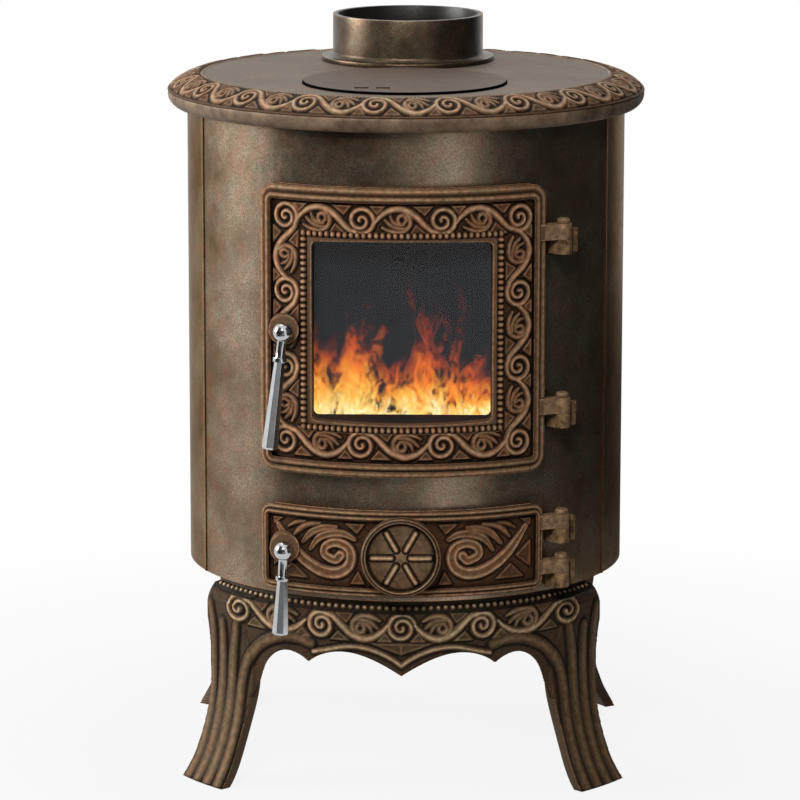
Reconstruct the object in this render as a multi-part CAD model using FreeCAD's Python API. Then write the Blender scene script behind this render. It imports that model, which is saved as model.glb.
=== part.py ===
"""Round cast-iron wood stove on two leg castings, with a glazed fire door, an ash door and a flue collar.

Millimetres, +Z up. The front faces -Y and the origin lies on the floor under the body's axis.
Azimuths are degrees from the front, positive towards +X.
"""

import FreeCAD
import Part
import math
import os

V = FreeCAD.Vector
ORIGIN = V(0, 0, 0)
UP = V(0, 0, 1)
BACK = V(0, 1, 0)
FRONT = V(0, -1, 0)

# Fits that many pieces share
overrun = 40.0
seat_gap = 0.3
pin_clearance = 0.05
screw_clearance = 0.3

# Leg castings: apron, shoulders and legs
leg_height = 192.0
apron_inset = 2.0
apron_wall = 8.0
apron_low_share = 0.44
bead_step = 4.5
bead_step_drop = 4.5
bead_slope_drop = 6.5
foot_flare = 41.0
leg_thickness = 11.0
shoulder_angle = 66.0
shoulder_middle_angle = 62.0
shoulder_shares = [(58.0, 1.0), (63.0, 0.917), (65.0, 0.846), (63.4, 0.75), (62.0, 0.625), (60.2, 0.53),
                   (58.4, 0.40)]
arch_shares = [(0.0, 0.625), (7.0, 0.70), (15.0, 0.7375), (20.5, 0.72), (24.8, 0.673),
               (28.0, 0.705), (32.0, 0.7135), (37.0, 0.66), (40.2, 0.54), (41.7, 0.47), (42.9, 0.40)]
arch_tip_count = 5
leg_shares = [(0.0, 1.0, 43.4, 58.1), (0.156, 0.61, 43.0, 56.9), (0.3125, 0.30, 43.1, 57.7),
              (0.469, 0.115, 42.4, 59.2), (0.625, 0.05, 43.0, 61.4), (0.78, 0.055, 46.0, 63.6),
              (0.885, 0.05, 47.5, 63.0)]
leg_flange_depth = 20.0
leg_flange_thickness = 7.0
leg_flange_angle = 56.0

# Base plate and the bolts that clamp legs, plate and panels
base_plate_thickness = 6.0
lap_depth = 5.0
lap_wall = 3.0
lap_gap = 0.5
clamp_angles = [50.0, 130.0, 230.0, 310.0]
clamp_inset = 12.0
clamp_radius = 4.0
tab_depth = 20.0
tab_width = 26.0
tab_thickness = 8.0
runner_height = 10.0
runner_width = 8.0
runner_spacing_share = 0.714

# Body panels
body_radius = 211.0
body_wall = 6.0
head_room = 73.0
seam_angle = 65.0
seam_bead_width = 3.0
seam_bead_height = 1.0
flange_depth = 15.0
flange_thickness = 6.0
flange_end_gap = 14.0
seam_bolt_radius = 3.0
seam_bolt_shares = [0.16, 0.55, 0.93]
ledge_depth = 11.0
ledge_width = 24.0
ledge_height = 10.0

# Door openings in the front panel, drawn in from the doors' edges
opening_angle = 34.8
fire_opening_inset = 11.25
fire_opening_corner = 9.0
ash_opening_inset = 8.7
ash_opening_corner = 5.0

# Top plate
top_plate_thickness = 8.0
rim_overhang = 18.5
rim_edge_drop = 15.5
rim_low_drop = 29.0
rim_tuck = 6.5
rim_bulge = 2.2
rim_band = 31.5
lip_width = 3.0
lip_height = 0.9
skirt_gap = 1.0
top_bolt_radius = 3.0
top_bolt_bite = 5.5

# Cooking lid
lid_edge_gap = 22.0
lid_collar_gap = 5.5
lid_thickness = 7.6
lid_seat_depth = 5.0
lid_ledge = 7.0
lid_gap = 0.4
lid_chamfer = 1.0
pocket_left_share = 0.3
pocket_forward_share = 0.65
pocket_length = 34.0
pocket_width = 9.0
pocket_depth = 4.5
pocket_bar = 7.0

# Flue collar
collar_edge_gap = 5.5
spigot_radius = 74.0
spigot_wall = 5.0
collar_height = 45.7
collar_flange_width = 10.5
collar_flange_thickness = 4.5
collar_fillet = 5.0
collar_bolt_radius = 2.5
collar_bolt_bite = 3.0
collar_bolt_count = 4

# Hearth plate, grate, log guard, lining and baffle
hearth_over_door = 15.4
hearth_thickness = 7.0
hearth_gap = 1.0
hearth_ledge_angles = [50.0, 100.0, 150.0]
notch_gap = 1.5
grate_radius_share = 0.546
grate_thickness = 11.0
grate_ledge = 12.0
grate_ledge_depth = 5.0
grate_gap = 0.5
grate_slot = 9.0
grate_bar = 9.0
grate_slot_count = 9
grate_margin = 10.0
guard_gap = 8.0
guard_thickness = 6.0
guard_height = 35.0
guard_angle = 28.0
guard_slot_count = 7
guard_slot_angle = 4.0
guard_rail = 8.0
brick_count = 3
brick_thickness = 25.0
brick_height = 178.0
brick_first_angle = 71.0
brick_last_angle = 174.0
brick_joint_angle = 0.4
brick_wall_gap = 1.5
baffle_drop = 70.0
baffle_thickness = 6.0
baffle_front_share = 0.293
baffle_ledge_angles = [95.0, 145.0]

# Ash pan
pan_width_share = 0.956
pan_length_share = 1.146
pan_front_share = 0.693
pan_height = 48.0
pan_wall = 1.5
bail_span = 70.0
bail_reach = 9.0
bail_radius = 2.5
bail_corner = 6.0
bail_drop_share = 0.35

# Doors in common
door_gap = 0.8
door_plate = 7.5
ridge_low = 2.0
ridge_high = 4.0
seal_groove_depth = 3.0
seal_side_gap = 0.3
handle_angle = 30.1
boss_radius = 14.0
boss_stand = 13.3
hub_radius = 7.0
hub_reach = 7.2

# Fire door
door_spacing = 32.9
fire_door_height = 271.5
fire_door_angle = 37.0
fire_door_corner = 16.0
fire_ridge_low_width = 7.5
fire_ridge_high_width = 6.0
fire_seal_width = 5.0
fire_seal_inset = 1.4
fire_handle_share = 0.503
window_margin = 49.5
window_angle = 22.95
window_corner = 5.0
window_side_draft = 3.0
window_sill_draft = 4.0
glass_seat_gap = 1.0
glass_overlap = 7.5
glass_wall = 4.0
clip_land = 9.5
pad_margin = 8.5
pad_height = 1.6
gasket_thickness = 1.5
glass_thickness = 4.0
clip_thickness = 2.5
clip_height = 24.0
clip_bite = 5.0
clip_inset = 36.0
clip_screw_radius = 2.0
clip_screw_depth = 8.0
clip_head_radius = 3.6
clip_head_height = 2.4

# Ash door
ash_door_rise = 1.2
ash_door_height = 81.4
ash_door_angle = 36.7
ash_door_corner = 11.0
ash_ridge_low_width = 4.5
ash_ridge_high_width = 4.0
ash_seal_width = 3.4
ash_seal_inset = 1.0
ash_handle_share = 0.526

# Screw-in draft
draft_rise_share = 0.511
draft_radius_share = 0.461
draft_thickness = 11.5
draft_ring_width = 5.2
draft_ring_height = 3.0
draft_groove_width = 1.6
draft_groove_depth = 1.4
draft_dome = 1.6
dome_flat_share = 0.2
draft_seat_margin = 2.5
draft_seat_stand = 3.2
draft_hole_count = 6
draft_hole_share = 0.173
draft_circle_share = 0.587
draft_stud_radius = 6.0
draft_stud_length = 45.0
draft_stud_bite = 5.0
stop_nut_flats = 18.0
stop_nut_height = 7.0
rib_count = 6
rib_inner_share = 0.227
rib_outer_share = 0.707
rib_width = 4.2
rib_height = 2.6

# Handles
spindle_radius = 4.5
spindle_end_radius = 3.0
ball_radius = 9.4
ball_stand = 12.0
neck_radius = 4.6
neck_length = 24.0
collar_ring_radius = 6.6
collar_ring_height = 4.0
grip_top_flats = 9.8
grip_end_flats = 15.0
grip_bevel = 2.0
grip_sides = 8
fire_grip_length = 83.0
ash_grip_length = 52.0
fire_lean_angle = 6.6
ash_lean_angle = 2.7
spacer_radius = 6.0
spacer_length = 14.0
tongue_thickness = 5.0
tongue_half_width = 4.5
tongue_reach = 14.0
latch_nut_flats = 10.0
latch_nut_height = 5.0

# Hinges
hinge_angle = 41.5
hinge_stand = 15.0
hinge_pin_radius = 4.0
hinge_eye_radius = 7.6
strap_thickness = 8.5
strap_root_angle = 35.0
pin_head_radius = 6.2
pin_head_height = 4.5
lug_rib_angle = 45.6
lug_rib_width = 5.0
lug_rib_rise = 9.0
fire_strap_shares = [0.1945, 0.8022]
fire_strap_height = 15.0
fire_lug_height = 13.5
ash_strap_shares = [0.1695, 0.6978]
ash_strap_height = 13.4
ash_lug_height = 14.0

# Hexagon fasteners
bolt_flats_share = 1.7
bolt_head_share = 0.65
nut_height_share = 0.8

# Heights, radii and places that follow from the sizes above
apron_radius = body_radius - apron_inset
apron_low = leg_height * apron_low_share
body_inner = body_radius - body_wall
clamp_r = body_inner - clamp_inset
door_inner = body_radius + door_gap
door_face = door_inner + door_plate
pin_r = body_radius + hinge_stand
base_top_z = leg_height + base_plate_thickness
body_bottom_z = base_top_z - lap_depth
ash_door_z = base_top_z + ash_door_rise
ash_door_top_z = ash_door_z + ash_door_height
hearth_z = ash_door_top_z + hearth_over_door
hearth_top_z = hearth_z + hearth_thickness
fire_door_z = ash_door_top_z + door_spacing
fire_door_top_z = fire_door_z + fire_door_height
panel_top_z = fire_door_top_z + head_room
panel_height = panel_top_z - base_top_z
top_z = panel_top_z + top_plate_thickness
baffle_z = panel_top_z - baffle_drop
baffle_front_y = -body_inner * baffle_front_share
rim_radius = body_radius + rim_overhang
rim_low_radius = rim_radius - rim_tuck
flat_radius = rim_radius - rim_band
spigot_bore = spigot_radius - spigot_wall
collar_flange_radius = spigot_radius + collar_flange_width
collar_y = flat_radius - collar_edge_gap - collar_flange_radius
lid_back_y = collar_y - collar_flange_radius - lid_collar_gap
lid_front_y = lid_edge_gap - flat_radius
lid_radius = (lid_back_y - lid_front_y) / 2
lid_y = (lid_back_y + lid_front_y) / 2
grate_radius = body_inner * grate_radius_share
pan_width = body_inner * pan_width_share
pan_length = body_inner * pan_length_share
pan_front_y = -body_inner * pan_front_share
handle_x = -door_face * math.sin(math.radians(handle_angle))
boss_front_y = -door_face * math.cos(math.radians(handle_angle)) - boss_stand
hub_back_y = hub_reach - door_inner * math.cos(math.radians(handle_angle))
tongue_front_y = hub_back_y + spacer_length
fire_handle_z = fire_door_z + fire_door_height * fire_handle_share
ash_handle_z = ash_door_z + ash_door_height * ash_handle_share
window_z = fire_door_z + window_margin
window_height = fire_door_height - 2 * window_margin
window_half_width = door_face * math.sin(math.radians(window_angle))
glass_half_width = window_half_width - window_side_draft + glass_overlap
glass_seat_half_width = glass_half_width + clip_land
glass_seat_y = glass_seat_gap - math.sqrt(door_inner ** 2 - glass_seat_half_width ** 2)
draft_z = ash_door_z + ash_door_height * draft_rise_share
draft_radius = ash_door_height * draft_radius_share
draft_seat_radius = draft_radius - draft_seat_margin
draft_seat_y = -door_face - ridge_high - draft_seat_stand
draft_hole_radius = draft_radius * draft_hole_share
draft_hole_circle = draft_radius * draft_circle_share


def polar(radius, azimuth, z):
    a = math.radians(azimuth)
    return V(radius * math.sin(a), -radius * math.cos(a), z)


def placed(shape, azimuth):
    """Turns a shape that was made along +X to an azimuth."""
    shape.rotate(ORIGIN, UP, azimuth - 90)
    return shape


def box(low, high):
    return Part.makeBox(high[0] - low[0], high[1] - low[1], high[2] - low[2], V(*low))


def rod(radius, start, end):
    span = end - start
    return Part.makeCylinder(radius, span.Length, start, span)


def joined(shapes):
    return shapes[0].multiFuse(shapes[1:]).removeSplitter()


def turned(points, start, sweep):
    """Revolves an outline of radius and height points about the axis, from one azimuth through a sweep."""
    corners = [V(r, 0, z) for r, z in points]
    face = Part.Face(Part.makePolygon(corners + corners[:1]))
    return placed(face, start).revolve(ORIGIN, UP, sweep)


def sector(r0, r1, z0, z1, a0, a1):
    return turned([(r0, z0), (r1, z0), (r1, z1), (r0, z1)], a0, a1 - a0)


def rounded_sector(r0, r1, z0, z1, angle, corner):
    """A curved plate centred on the front, with its four corners rounded."""
    plate = sector(r0, r1, z0, z1, -angle, angle)
    radial = [e for e in plate.Edges if isinstance(e.Curve, Part.Line)
              and abs(e.tangentAt(e.FirstParameter).z) < 0.5]
    return plate.makeFillet(corner, radial)


def inset_sector(r0, r1, z0, z1, angle, corner, inset):
    """The same plate drawn in from its edges, with the corners drawn in alike."""
    turn = math.degrees(inset / door_face)
    least_share = 0.2
    rounding = max(corner - inset, corner * least_share)
    return rounded_sector(r0, r1, z0 + inset, z1 - inset, angle - turn, rounding)


def hexagon(flats, height, base, axis):
    radius = flats / math.sqrt(3)
    corners = [V(radius * math.cos(math.radians(60 * i)), radius * math.sin(math.radians(60 * i)), 0)
               for i in range(6)]
    prism = Part.Face(Part.makePolygon(corners + corners[:1])).extrude(V(0, 0, height))
    prism.Placement = FreeCAD.Placement(base, FreeCAD.Rotation(UP, axis))
    return prism


def bolt(radius, length, base, axis):
    """A hexagon bolt whose head bears on base and whose shank runs along axis."""
    head_height = 2 * radius * bolt_head_share
    head = hexagon(2 * radius * bolt_flats_share, head_height, base - axis * head_height, axis)
    return joined([head, rod(radius, base, base + axis * length)])


def nut(radius, base, axis):
    height = 2 * radius * nut_height_share
    body = hexagon(2 * radius * bolt_flats_share, height, base, axis)
    return body.cut(rod(radius, base - axis * overrun, base + axis * overrun))


def apron_body():
    """The curved apron with its stepped bead seat, cut to the scalloped lower edge and the shoulders."""
    inner = apron_radius - apron_wall
    seat = apron_radius - bead_step
    slope_z = leg_height - bead_step_drop - bead_slope_drop
    apron = turned([(inner, apron_low), (apron_radius, apron_low), (apron_radius, slope_z),
                    (seat, leg_height - bead_step_drop), (seat, leg_height), (inner, leg_height)],
                   -shoulder_angle, 2 * shoulder_angle)
    return apron.cut(arch_cutter()).cut(shoulder_cutter(1)).cut(shoulder_cutter(-1))


def arch_cutter():
    """A prism along Y whose upper edge is the scalloped line: two arcs and a pointed middle."""
    side = [V(apron_radius * math.sin(math.radians(a)), 0, leg_height * s) for a, s in arch_shares]
    mirror = [V(-p.x, 0, p.z) for p in side]
    edges = []
    for points in (side, mirror):
        for run in (points[:arch_tip_count], points[arch_tip_count - 1:]):
            curve = Part.BSplineCurve()
            curve.interpolate(run)
            edges.append(curve.toShape())
    low = [V(p.x, 0, -overrun) for p in (side[-1], mirror[-1])]
    edges += Part.makePolygon([side[-1], low[0], low[1], mirror[-1]]).Edges
    face = Part.Face(Part.Wire(Part.__sortEdges__(edges)))
    return face.extrude(FRONT * (apron_radius + overrun))


def shoulder_cutter(hand):
    """A prism along the shoulder's own radius that rounds the apron's end down into the leg."""
    points = [V(0, apron_radius * math.sin(math.radians(a - shoulder_middle_angle)), leg_height * s)
              for a, s in shoulder_shares]
    curve = Part.BSplineCurve()
    curve.interpolate(points)
    top, low = points[0], points[-1]
    away = apron_radius - apron_wall
    rest = Part.makePolygon([low, V(0, low.y, -overrun), V(0, away, -overrun),
                             V(0, away, leg_height + overrun), V(0, top.y, leg_height + overrun), top])
    face = Part.Face(Part.Wire(Part.__sortEdges__([curve.toShape()] + rest.Edges)))
    cutter = placed(face.extrude(V(apron_radius + overrun, 0, 0)), shoulder_middle_angle)
    return cutter if hand > 0 else cutter.mirror(ORIGIN, V(1, 0, 0))


def leg(hand):
    """One splayed leg: sections that are arcs about the body's axis, lofted from foot to shoulder."""
    wires = []
    for height_share, flare_share, first, last in leg_shares:
        z = leg_height * height_share
        outer = apron_radius + foot_flare * flare_share
        inner = outer - leg_thickness
        middle = (first + last) / 2
        face_arc = Part.Arc(polar(outer, first, z), polar(outer, middle, z), polar(outer, last, z)).toShape()
        back_arc = Part.Arc(polar(inner, last, z), polar(inner, middle, z), polar(inner, first, z)).toShape()
        sides = [Part.makeLine(polar(outer, last, z), polar(inner, last, z)),
                 Part.makeLine(polar(inner, first, z), polar(outer, first, z))]
        wires.append(Part.Wire([face_arc, sides[0], back_arc, sides[1]]))
    solid = Part.makeLoft(wires, True, False)
    return solid if hand > 0 else solid.mirror(ORIGIN, V(1, 0, 0))


def leg_frame():
    """Apron, two legs and the inside flange that carries the base plate."""
    inner = apron_radius - apron_wall
    flange = sector(inner - leg_flange_depth, inner + apron_wall / 4, leg_height - leg_flange_thickness,
                    leg_height, -leg_flange_angle, leg_flange_angle)
    frame = joined([apron_body(), leg(1), leg(-1), flange])
    for azimuth in (clamp_angles[0], clamp_angles[-1]):
        frame = frame.cut(clamp_hole(azimuth))
    return frame


def clamp_hole(azimuth):
    radius = clamp_radius + screw_clearance
    return rod(radius, polar(clamp_r, azimuth, 0), polar(clamp_r, azimuth, base_top_z + overrun))


def base_plate():
    """Round plate with two runners on which the ash pan slides."""
    radius = body_radius - lap_wall - lap_gap
    plate = Part.makeCylinder(radius, base_plate_thickness, V(0, 0, leg_height))
    runners = []
    for side in (-1, 1):
        x = side * pan_width * runner_spacing_share / 2
        runners.append(box((x - runner_width / 2, pan_front_y, base_top_z - base_plate_thickness / 2),
                           (x + runner_width / 2, pan_front_y + pan_length, base_top_z + runner_height)))
    plate = joined([plate] + runners)
    for azimuth in clamp_angles:
        plate = plate.cut(clamp_hole(azimuth))
    return plate


def clamp_bolts():
    head_z = leg_height - leg_flange_thickness
    length = leg_flange_thickness + base_plate_thickness + tab_thickness + 2 * clamp_radius
    bases = [polar(clamp_r, a, head_z) for a in clamp_angles]
    return Part.makeCompound([bolt(clamp_radius, length, base, UP) for base in bases])


def clamp_nuts():
    seat_z = base_top_z + tab_thickness
    return Part.makeCompound([nut(clamp_radius, polar(clamp_r, a, seat_z), UP) for a in clamp_angles])


def wall_block(azimuth, depth, width, z0, z1):
    """A block cast on the inside of the wall, such as a ledge or a tab."""
    block = box((body_inner - depth, -width / 2, z0), (body_inner + body_wall / 2, width / 2, z1))
    return placed(block, azimuth)


def seam_flange(azimuth, hand):
    """An inside flange on one side of a seam: hand is 1 for the side of growing azimuth."""
    low, high = base_top_z + flange_end_gap, panel_top_z - flange_end_gap
    side = (0, flange_thickness) if hand > 0 else (-flange_thickness, 0)
    plate = box((body_inner - flange_depth, side[0], low), (body_inner + body_wall / 2, side[1], high))
    flange = placed(plate, azimuth)
    for base in seam_points(azimuth):
        flange = flange.cut(rod(seam_bolt_radius + screw_clearance,
                                base - tangent(azimuth) * overrun, base + tangent(azimuth) * overrun))
    return flange


def tangent(azimuth):
    a = math.radians(azimuth)
    return V(math.cos(a), math.sin(a), 0)


def seam_points(azimuth):
    r = body_inner - flange_depth / 2
    return [polar(r, azimuth, base_top_z + panel_height * s) for s in seam_bolt_shares]


def panel_wall(a0, a1):
    """A length of wall with the skirt that laps the base plate."""
    lap = body_radius - lap_wall
    return turned([(lap, body_bottom_z), (body_radius, body_bottom_z), (body_radius, panel_top_z),
                   (body_inner, panel_top_z), (body_inner, base_top_z), (lap, base_top_z)], a0, a1 - a0)


def fixing_tabs(azimuths):
    """Tabs at the foot and at the head of the wall, with their bolt holes."""
    tabs = []
    for azimuth in azimuths:
        low = wall_block(azimuth, tab_depth, tab_width, base_top_z, base_top_z + tab_thickness)
        high = wall_block(azimuth, tab_depth, tab_width, panel_top_z - tab_thickness, panel_top_z)
        tabs.append(low.cut(clamp_hole(azimuth)))
        tabs.append(high.cut(top_hole(azimuth)))
    return tabs


def top_hole(azimuth):
    radius = top_bolt_radius + screw_clearance
    return rod(radius, polar(clamp_r, azimuth, panel_top_z - overrun), polar(clamp_r, azimuth, panel_top_z))


def hearth_ledges(azimuths):
    return [wall_block(a, ledge_depth, ledge_width, hearth_z - ledge_height, hearth_z) for a in azimuths]


def baffle_ledges(azimuths):
    return [wall_block(a, ledge_depth, ledge_width, baffle_z - ledge_height, baffle_z) for a in azimuths]


def hinge_lug(strap_z, height):
    """A lug on the wall below one hinge strap: radial arm, barrel and a rib beside the strap."""
    top = strap_z - seat_gap
    arm = placed(box((body_inner + body_wall / 2, -hinge_eye_radius, top - height),
                     (pin_r, hinge_eye_radius, top)), hinge_angle)
    barrel = rod(hinge_eye_radius, polar(pin_r, hinge_angle, top - height), polar(pin_r, hinge_angle, top))
    rib = placed(box((body_inner + body_wall / 2, -lug_rib_width / 2, top - height),
                     (pin_r, lug_rib_width / 2, top + lug_rib_rise)), lug_rib_angle)
    hole = rod(hinge_pin_radius + pin_clearance, polar(pin_r, hinge_angle, top - overrun),
               polar(pin_r, hinge_angle, top + overrun))
    return joined([arm, barrel, rib]).cut(hole)


def fire_strap_zs():
    return [fire_door_z + fire_door_height * share for share in fire_strap_shares]


def ash_strap_zs():
    return [ash_door_z + ash_door_height * share for share in ash_strap_shares]


def front_panel():
    """Front wall with both door openings, the seam beads, flanges, ledges, tabs and hinge lugs."""
    wall = panel_wall(-seam_angle, seam_angle)
    bead_angle = math.degrees(seam_bead_width / body_radius)
    bead_top = panel_top_z + top_plate_thickness - rim_low_drop - seat_gap
    bead_root = body_inner + body_wall / 2
    beads = [sector(bead_root, body_radius + seam_bead_height, body_bottom_z, bead_top, a, b)
             for a, b in ((-seam_angle, bead_angle - seam_angle), (seam_angle - bead_angle, seam_angle))]
    flanges = [seam_flange(seam_angle, -1), seam_flange(-seam_angle, 1)]
    front_clamps = (clamp_angles[0], clamp_angles[-1])
    blocks = fixing_tabs(front_clamps) + hearth_ledges((hearth_ledge_angles[0], -hearth_ledge_angles[0]))
    panel = joined([wall] + beads + flanges + blocks)
    reach = (body_inner - overrun, body_radius + overrun)
    panel = panel.cut(rounded_sector(*reach, fire_door_z + fire_opening_inset,
                                     fire_door_top_z - fire_opening_inset, opening_angle,
                                     fire_opening_corner))
    panel = panel.cut(rounded_sector(*reach, ash_door_z + ash_opening_inset,
                                     ash_door_top_z - ash_opening_inset, opening_angle,
                                     ash_opening_corner))
    lugs = [hinge_lug(z, fire_lug_height) for z in fire_strap_zs()]
    lugs += [hinge_lug(z, ash_lug_height) for z in ash_strap_zs()]
    return joined([panel] + lugs)


def side_panel(hand):
    """One side of the body, from the front seam round to the middle of the back."""
    first, last = (seam_angle, 180) if hand > 0 else (-180, -seam_angle)
    clamp = clamp_angles[1] if hand > 0 else clamp_angles[2]
    pieces = [panel_wall(first, last), seam_flange(first, 1), seam_flange(last, -1)]
    pieces += fixing_tabs([clamp])
    pieces += hearth_ledges([hand * a for a in hearth_ledge_angles[1:]])
    pieces += baffle_ledges([hand * a for a in baffle_ledge_angles])
    return joined(pieces)


def seam_bolts():
    return Part.makeCompound([bolt(seam_bolt_radius, 2 * flange_thickness + 3 * seam_bolt_radius,
                                   p - tangent(a) * flange_thickness, tangent(a))
                              for a in (seam_angle, 180, -seam_angle) for p in seam_points(a)])


def seam_nuts():
    return Part.makeCompound([nut(seam_bolt_radius, p + tangent(a) * flange_thickness, tangent(a))
                              for a in (seam_angle, 180, -seam_angle) for p in seam_points(a)])


def top_plate():
    """Turned plate with a rounded rim and a skirt round the panels, a lid seat and the flue hole."""
    skirt = body_radius + skirt_gap
    edge_z, low_z = top_z - rim_edge_drop, top_z - rim_low_drop
    lip_in = flat_radius - lip_width
    band_mid = V((flat_radius + rim_radius) / 2 + rim_bulge, 0, (top_z + edge_z) / 2 + rim_bulge)
    edge_mid = V(rim_radius, 0, (edge_z + low_z) / 2 + rim_bulge)
    start = V(flat_radius, 0, top_z)
    lines = Part.makePolygon([V(rim_low_radius, 0, low_z), V(skirt, 0, low_z), V(skirt, 0, panel_top_z),
                              V(0, 0, panel_top_z), V(0, 0, top_z), V(lip_in, 0, top_z),
                              V(lip_in + lip_width / 3, 0, top_z + lip_height),
                              V(flat_radius - lip_width / 3, 0, top_z + lip_height), start]).Edges
    arcs = [Part.Arc(start, band_mid, V(rim_radius, 0, edge_z)).toShape(),
            Part.Arc(V(rim_radius, 0, edge_z), edge_mid, V(rim_low_radius, 0, low_z)).toShape()]
    plate = Part.Face(Part.Wire(Part.__sortEdges__(lines + arcs))).revolve(ORIGIN, UP, 360)
    seat_z = top_z - lid_seat_depth
    lid_axis = V(0, lid_y, 0)
    cuts = [Part.makeCylinder(lid_radius - lid_ledge, 2 * overrun, lid_axis + UP * (panel_top_z - overrun)),
            Part.makeCylinder(lid_radius + lid_gap, overrun, lid_axis + UP * seat_z),
            Part.makeCylinder(spigot_bore, 2 * overrun, V(0, collar_y, panel_top_z - overrun))]
    for azimuth in clamp_angles:
        base = polar(clamp_r, azimuth, panel_top_z)
        cuts.append(rod(top_bolt_radius, base, base + UP * top_bolt_bite))
    for base in collar_bolt_points():
        cuts.append(rod(collar_bolt_radius + screw_clearance, base - UP * overrun, base + UP * overrun))
    for cutter in cuts:
        plate = plate.cut(cutter)
    return plate


def top_bolts():
    length = tab_thickness + top_bolt_bite
    bases = [polar(clamp_r, a, panel_top_z - tab_thickness) for a in clamp_angles]
    return Part.makeCompound([bolt(top_bolt_radius, length, base, UP) for base in bases])


def cooking_lid():
    """Round lid that stands a little proud of the plate, with a barred pocket for a lifter."""
    low = top_z - lid_seat_depth
    lid = Part.makeCylinder(lid_radius, lid_thickness, V(0, lid_y, low))
    rim = [e for e in lid.Edges if abs(e.BoundBox.ZMin - low - lid_thickness) < seat_gap and e.Closed]
    lid = lid.makeChamfer(lid_chamfer, rim)
    lid_top = low + lid_thickness
    x, y = -lid_radius * pocket_left_share, lid_y - lid_radius * pocket_forward_share
    for side in (-1, 1):
        near, far = side * pocket_bar / 2, side * pocket_length / 2
        lid = lid.cut(box((x + min(near, far), y - pocket_width / 2, lid_top - pocket_depth),
                          (x + max(near, far), y + pocket_width / 2, lid_top + overrun)))
    return lid


def collar_bolt_points():
    circle = (spigot_bore + collar_flange_radius) / 2
    turn = 360 / collar_bolt_count
    return [V(0, collar_y, top_z) + polar(circle, (i + 0.5) * turn, 0) for i in range(collar_bolt_count)]


def flue_collar():
    """Flanged spigot for the flue pipe, with a straight outside and bore."""
    flange_z = top_z + collar_flange_thickness
    foot = spigot_radius + collar_fillet
    bend = collar_fillet * (1 - math.sqrt(0.5))
    collar_top = top_z + collar_height
    lines = Part.makePolygon([V(spigot_radius, 0, flange_z + collar_fillet),
                              V(spigot_radius, 0, collar_top), V(spigot_bore, 0, collar_top),
                              V(spigot_bore, 0, top_z), V(collar_flange_radius, 0, top_z),
                              V(collar_flange_radius, 0, flange_z), V(foot, 0, flange_z)]).Edges
    fillet = Part.Arc(V(foot, 0, flange_z), V(spigot_radius + bend, 0, flange_z + bend),
                      V(spigot_radius, 0, flange_z + collar_fillet)).toShape()
    collar = Part.Face(Part.Wire(Part.__sortEdges__(lines + [fillet]))).revolve(ORIGIN, UP, 360)
    collar.translate(V(0, collar_y, 0))
    for base in collar_bolt_points():
        collar = collar.cut(rod(collar_bolt_radius, base, base + UP * collar_bolt_bite))
    return collar


def collar_bolts():
    length = top_plate_thickness + collar_bolt_bite
    drop = UP * top_plate_thickness
    return Part.makeCompound([bolt(collar_bolt_radius, length, p - drop, UP) for p in collar_bolt_points()])


def seam_notch(azimuth, z, thickness):
    """Room in a plate for the two flanges of a seam."""
    half = flange_thickness + notch_gap
    depth = flange_depth + notch_gap
    return placed(box((body_inner - depth, -half, z - overrun),
                      (body_inner + overrun, half, z + thickness + overrun)), azimuth)


def hearth_plate():
    plate = Part.makeCylinder(body_inner - hearth_gap, hearth_thickness, V(0, 0, hearth_z))
    hole = Part.makeCylinder(grate_radius - grate_ledge, 2 * overrun, V(0, 0, hearth_z - overrun))
    seat = Part.makeCylinder(grate_radius + grate_gap, overrun, V(0, 0, hearth_top_z - grate_ledge_depth))
    plate = plate.cut(hole).cut(seat)
    for azimuth in (seam_angle, -seam_angle, 180):
        plate = plate.cut(seam_notch(azimuth, hearth_z, hearth_thickness))
    return plate


def fire_grate():
    """Round grate with parallel slots, lying in its seat in the hearth plate."""
    low = hearth_top_z - grate_ledge_depth
    grate = Part.makeCylinder(grate_radius, grate_thickness, V(0, 0, low))
    reach = grate_radius - grate_ledge
    for i in range(grate_slot_count):
        x = (i - (grate_slot_count - 1) / 2) * (grate_slot + grate_bar)
        chord = reach ** 2 - (abs(x) + grate_slot / 2) ** 2
        half = math.sqrt(max(chord, grate_margin ** 2)) - grate_margin / 2
        left, right = x - grate_slot / 2, x + grate_slot / 2
        grate = grate.cut(box((left, -half, low - overrun), (right, half, low + overrun)))
    return grate


def log_guard():
    """Low slotted fence that stands on the hearth plate behind the fire door."""
    outer = body_inner - guard_gap
    guard = sector(outer - guard_thickness, outer, hearth_top_z, hearth_top_z + guard_height,
                   -guard_angle, guard_angle)
    pitch = 2 * guard_angle / (guard_slot_count + 1)
    for i in range(guard_slot_count):
        middle = (i + 1) * pitch - guard_angle
        guard = guard.cut(sector(outer - guard_thickness - overrun, outer + overrun,
                                 hearth_top_z + guard_rail, hearth_top_z + guard_height - guard_rail,
                                 middle - guard_slot_angle / 2, middle + guard_slot_angle / 2))
    return guard


def lining_brick(index):
    """One firebrick: the first half of them line the right side, the others the left."""
    hand = 1 if index < brick_count else -1
    place = index % brick_count
    pitch = (brick_last_angle - brick_first_angle) / brick_count
    first = brick_first_angle + place * pitch + brick_joint_angle / 2
    last = first + pitch - brick_joint_angle
    outer = body_inner - brick_wall_gap
    low, high = sorted((hand * first, hand * last))
    return sector(outer - brick_thickness, outer, hearth_top_z, hearth_top_z + brick_height, low, high)


def baffle_plate():
    plate = Part.makeCylinder(body_inner - hearth_gap, baffle_thickness, V(0, 0, baffle_z))
    wide = body_radius + overrun
    plate = plate.cut(box((-wide, -wide, baffle_z - overrun), (wide, baffle_front_y, baffle_z + overrun)))
    return plate.cut(seam_notch(180, baffle_z, baffle_thickness))


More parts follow.
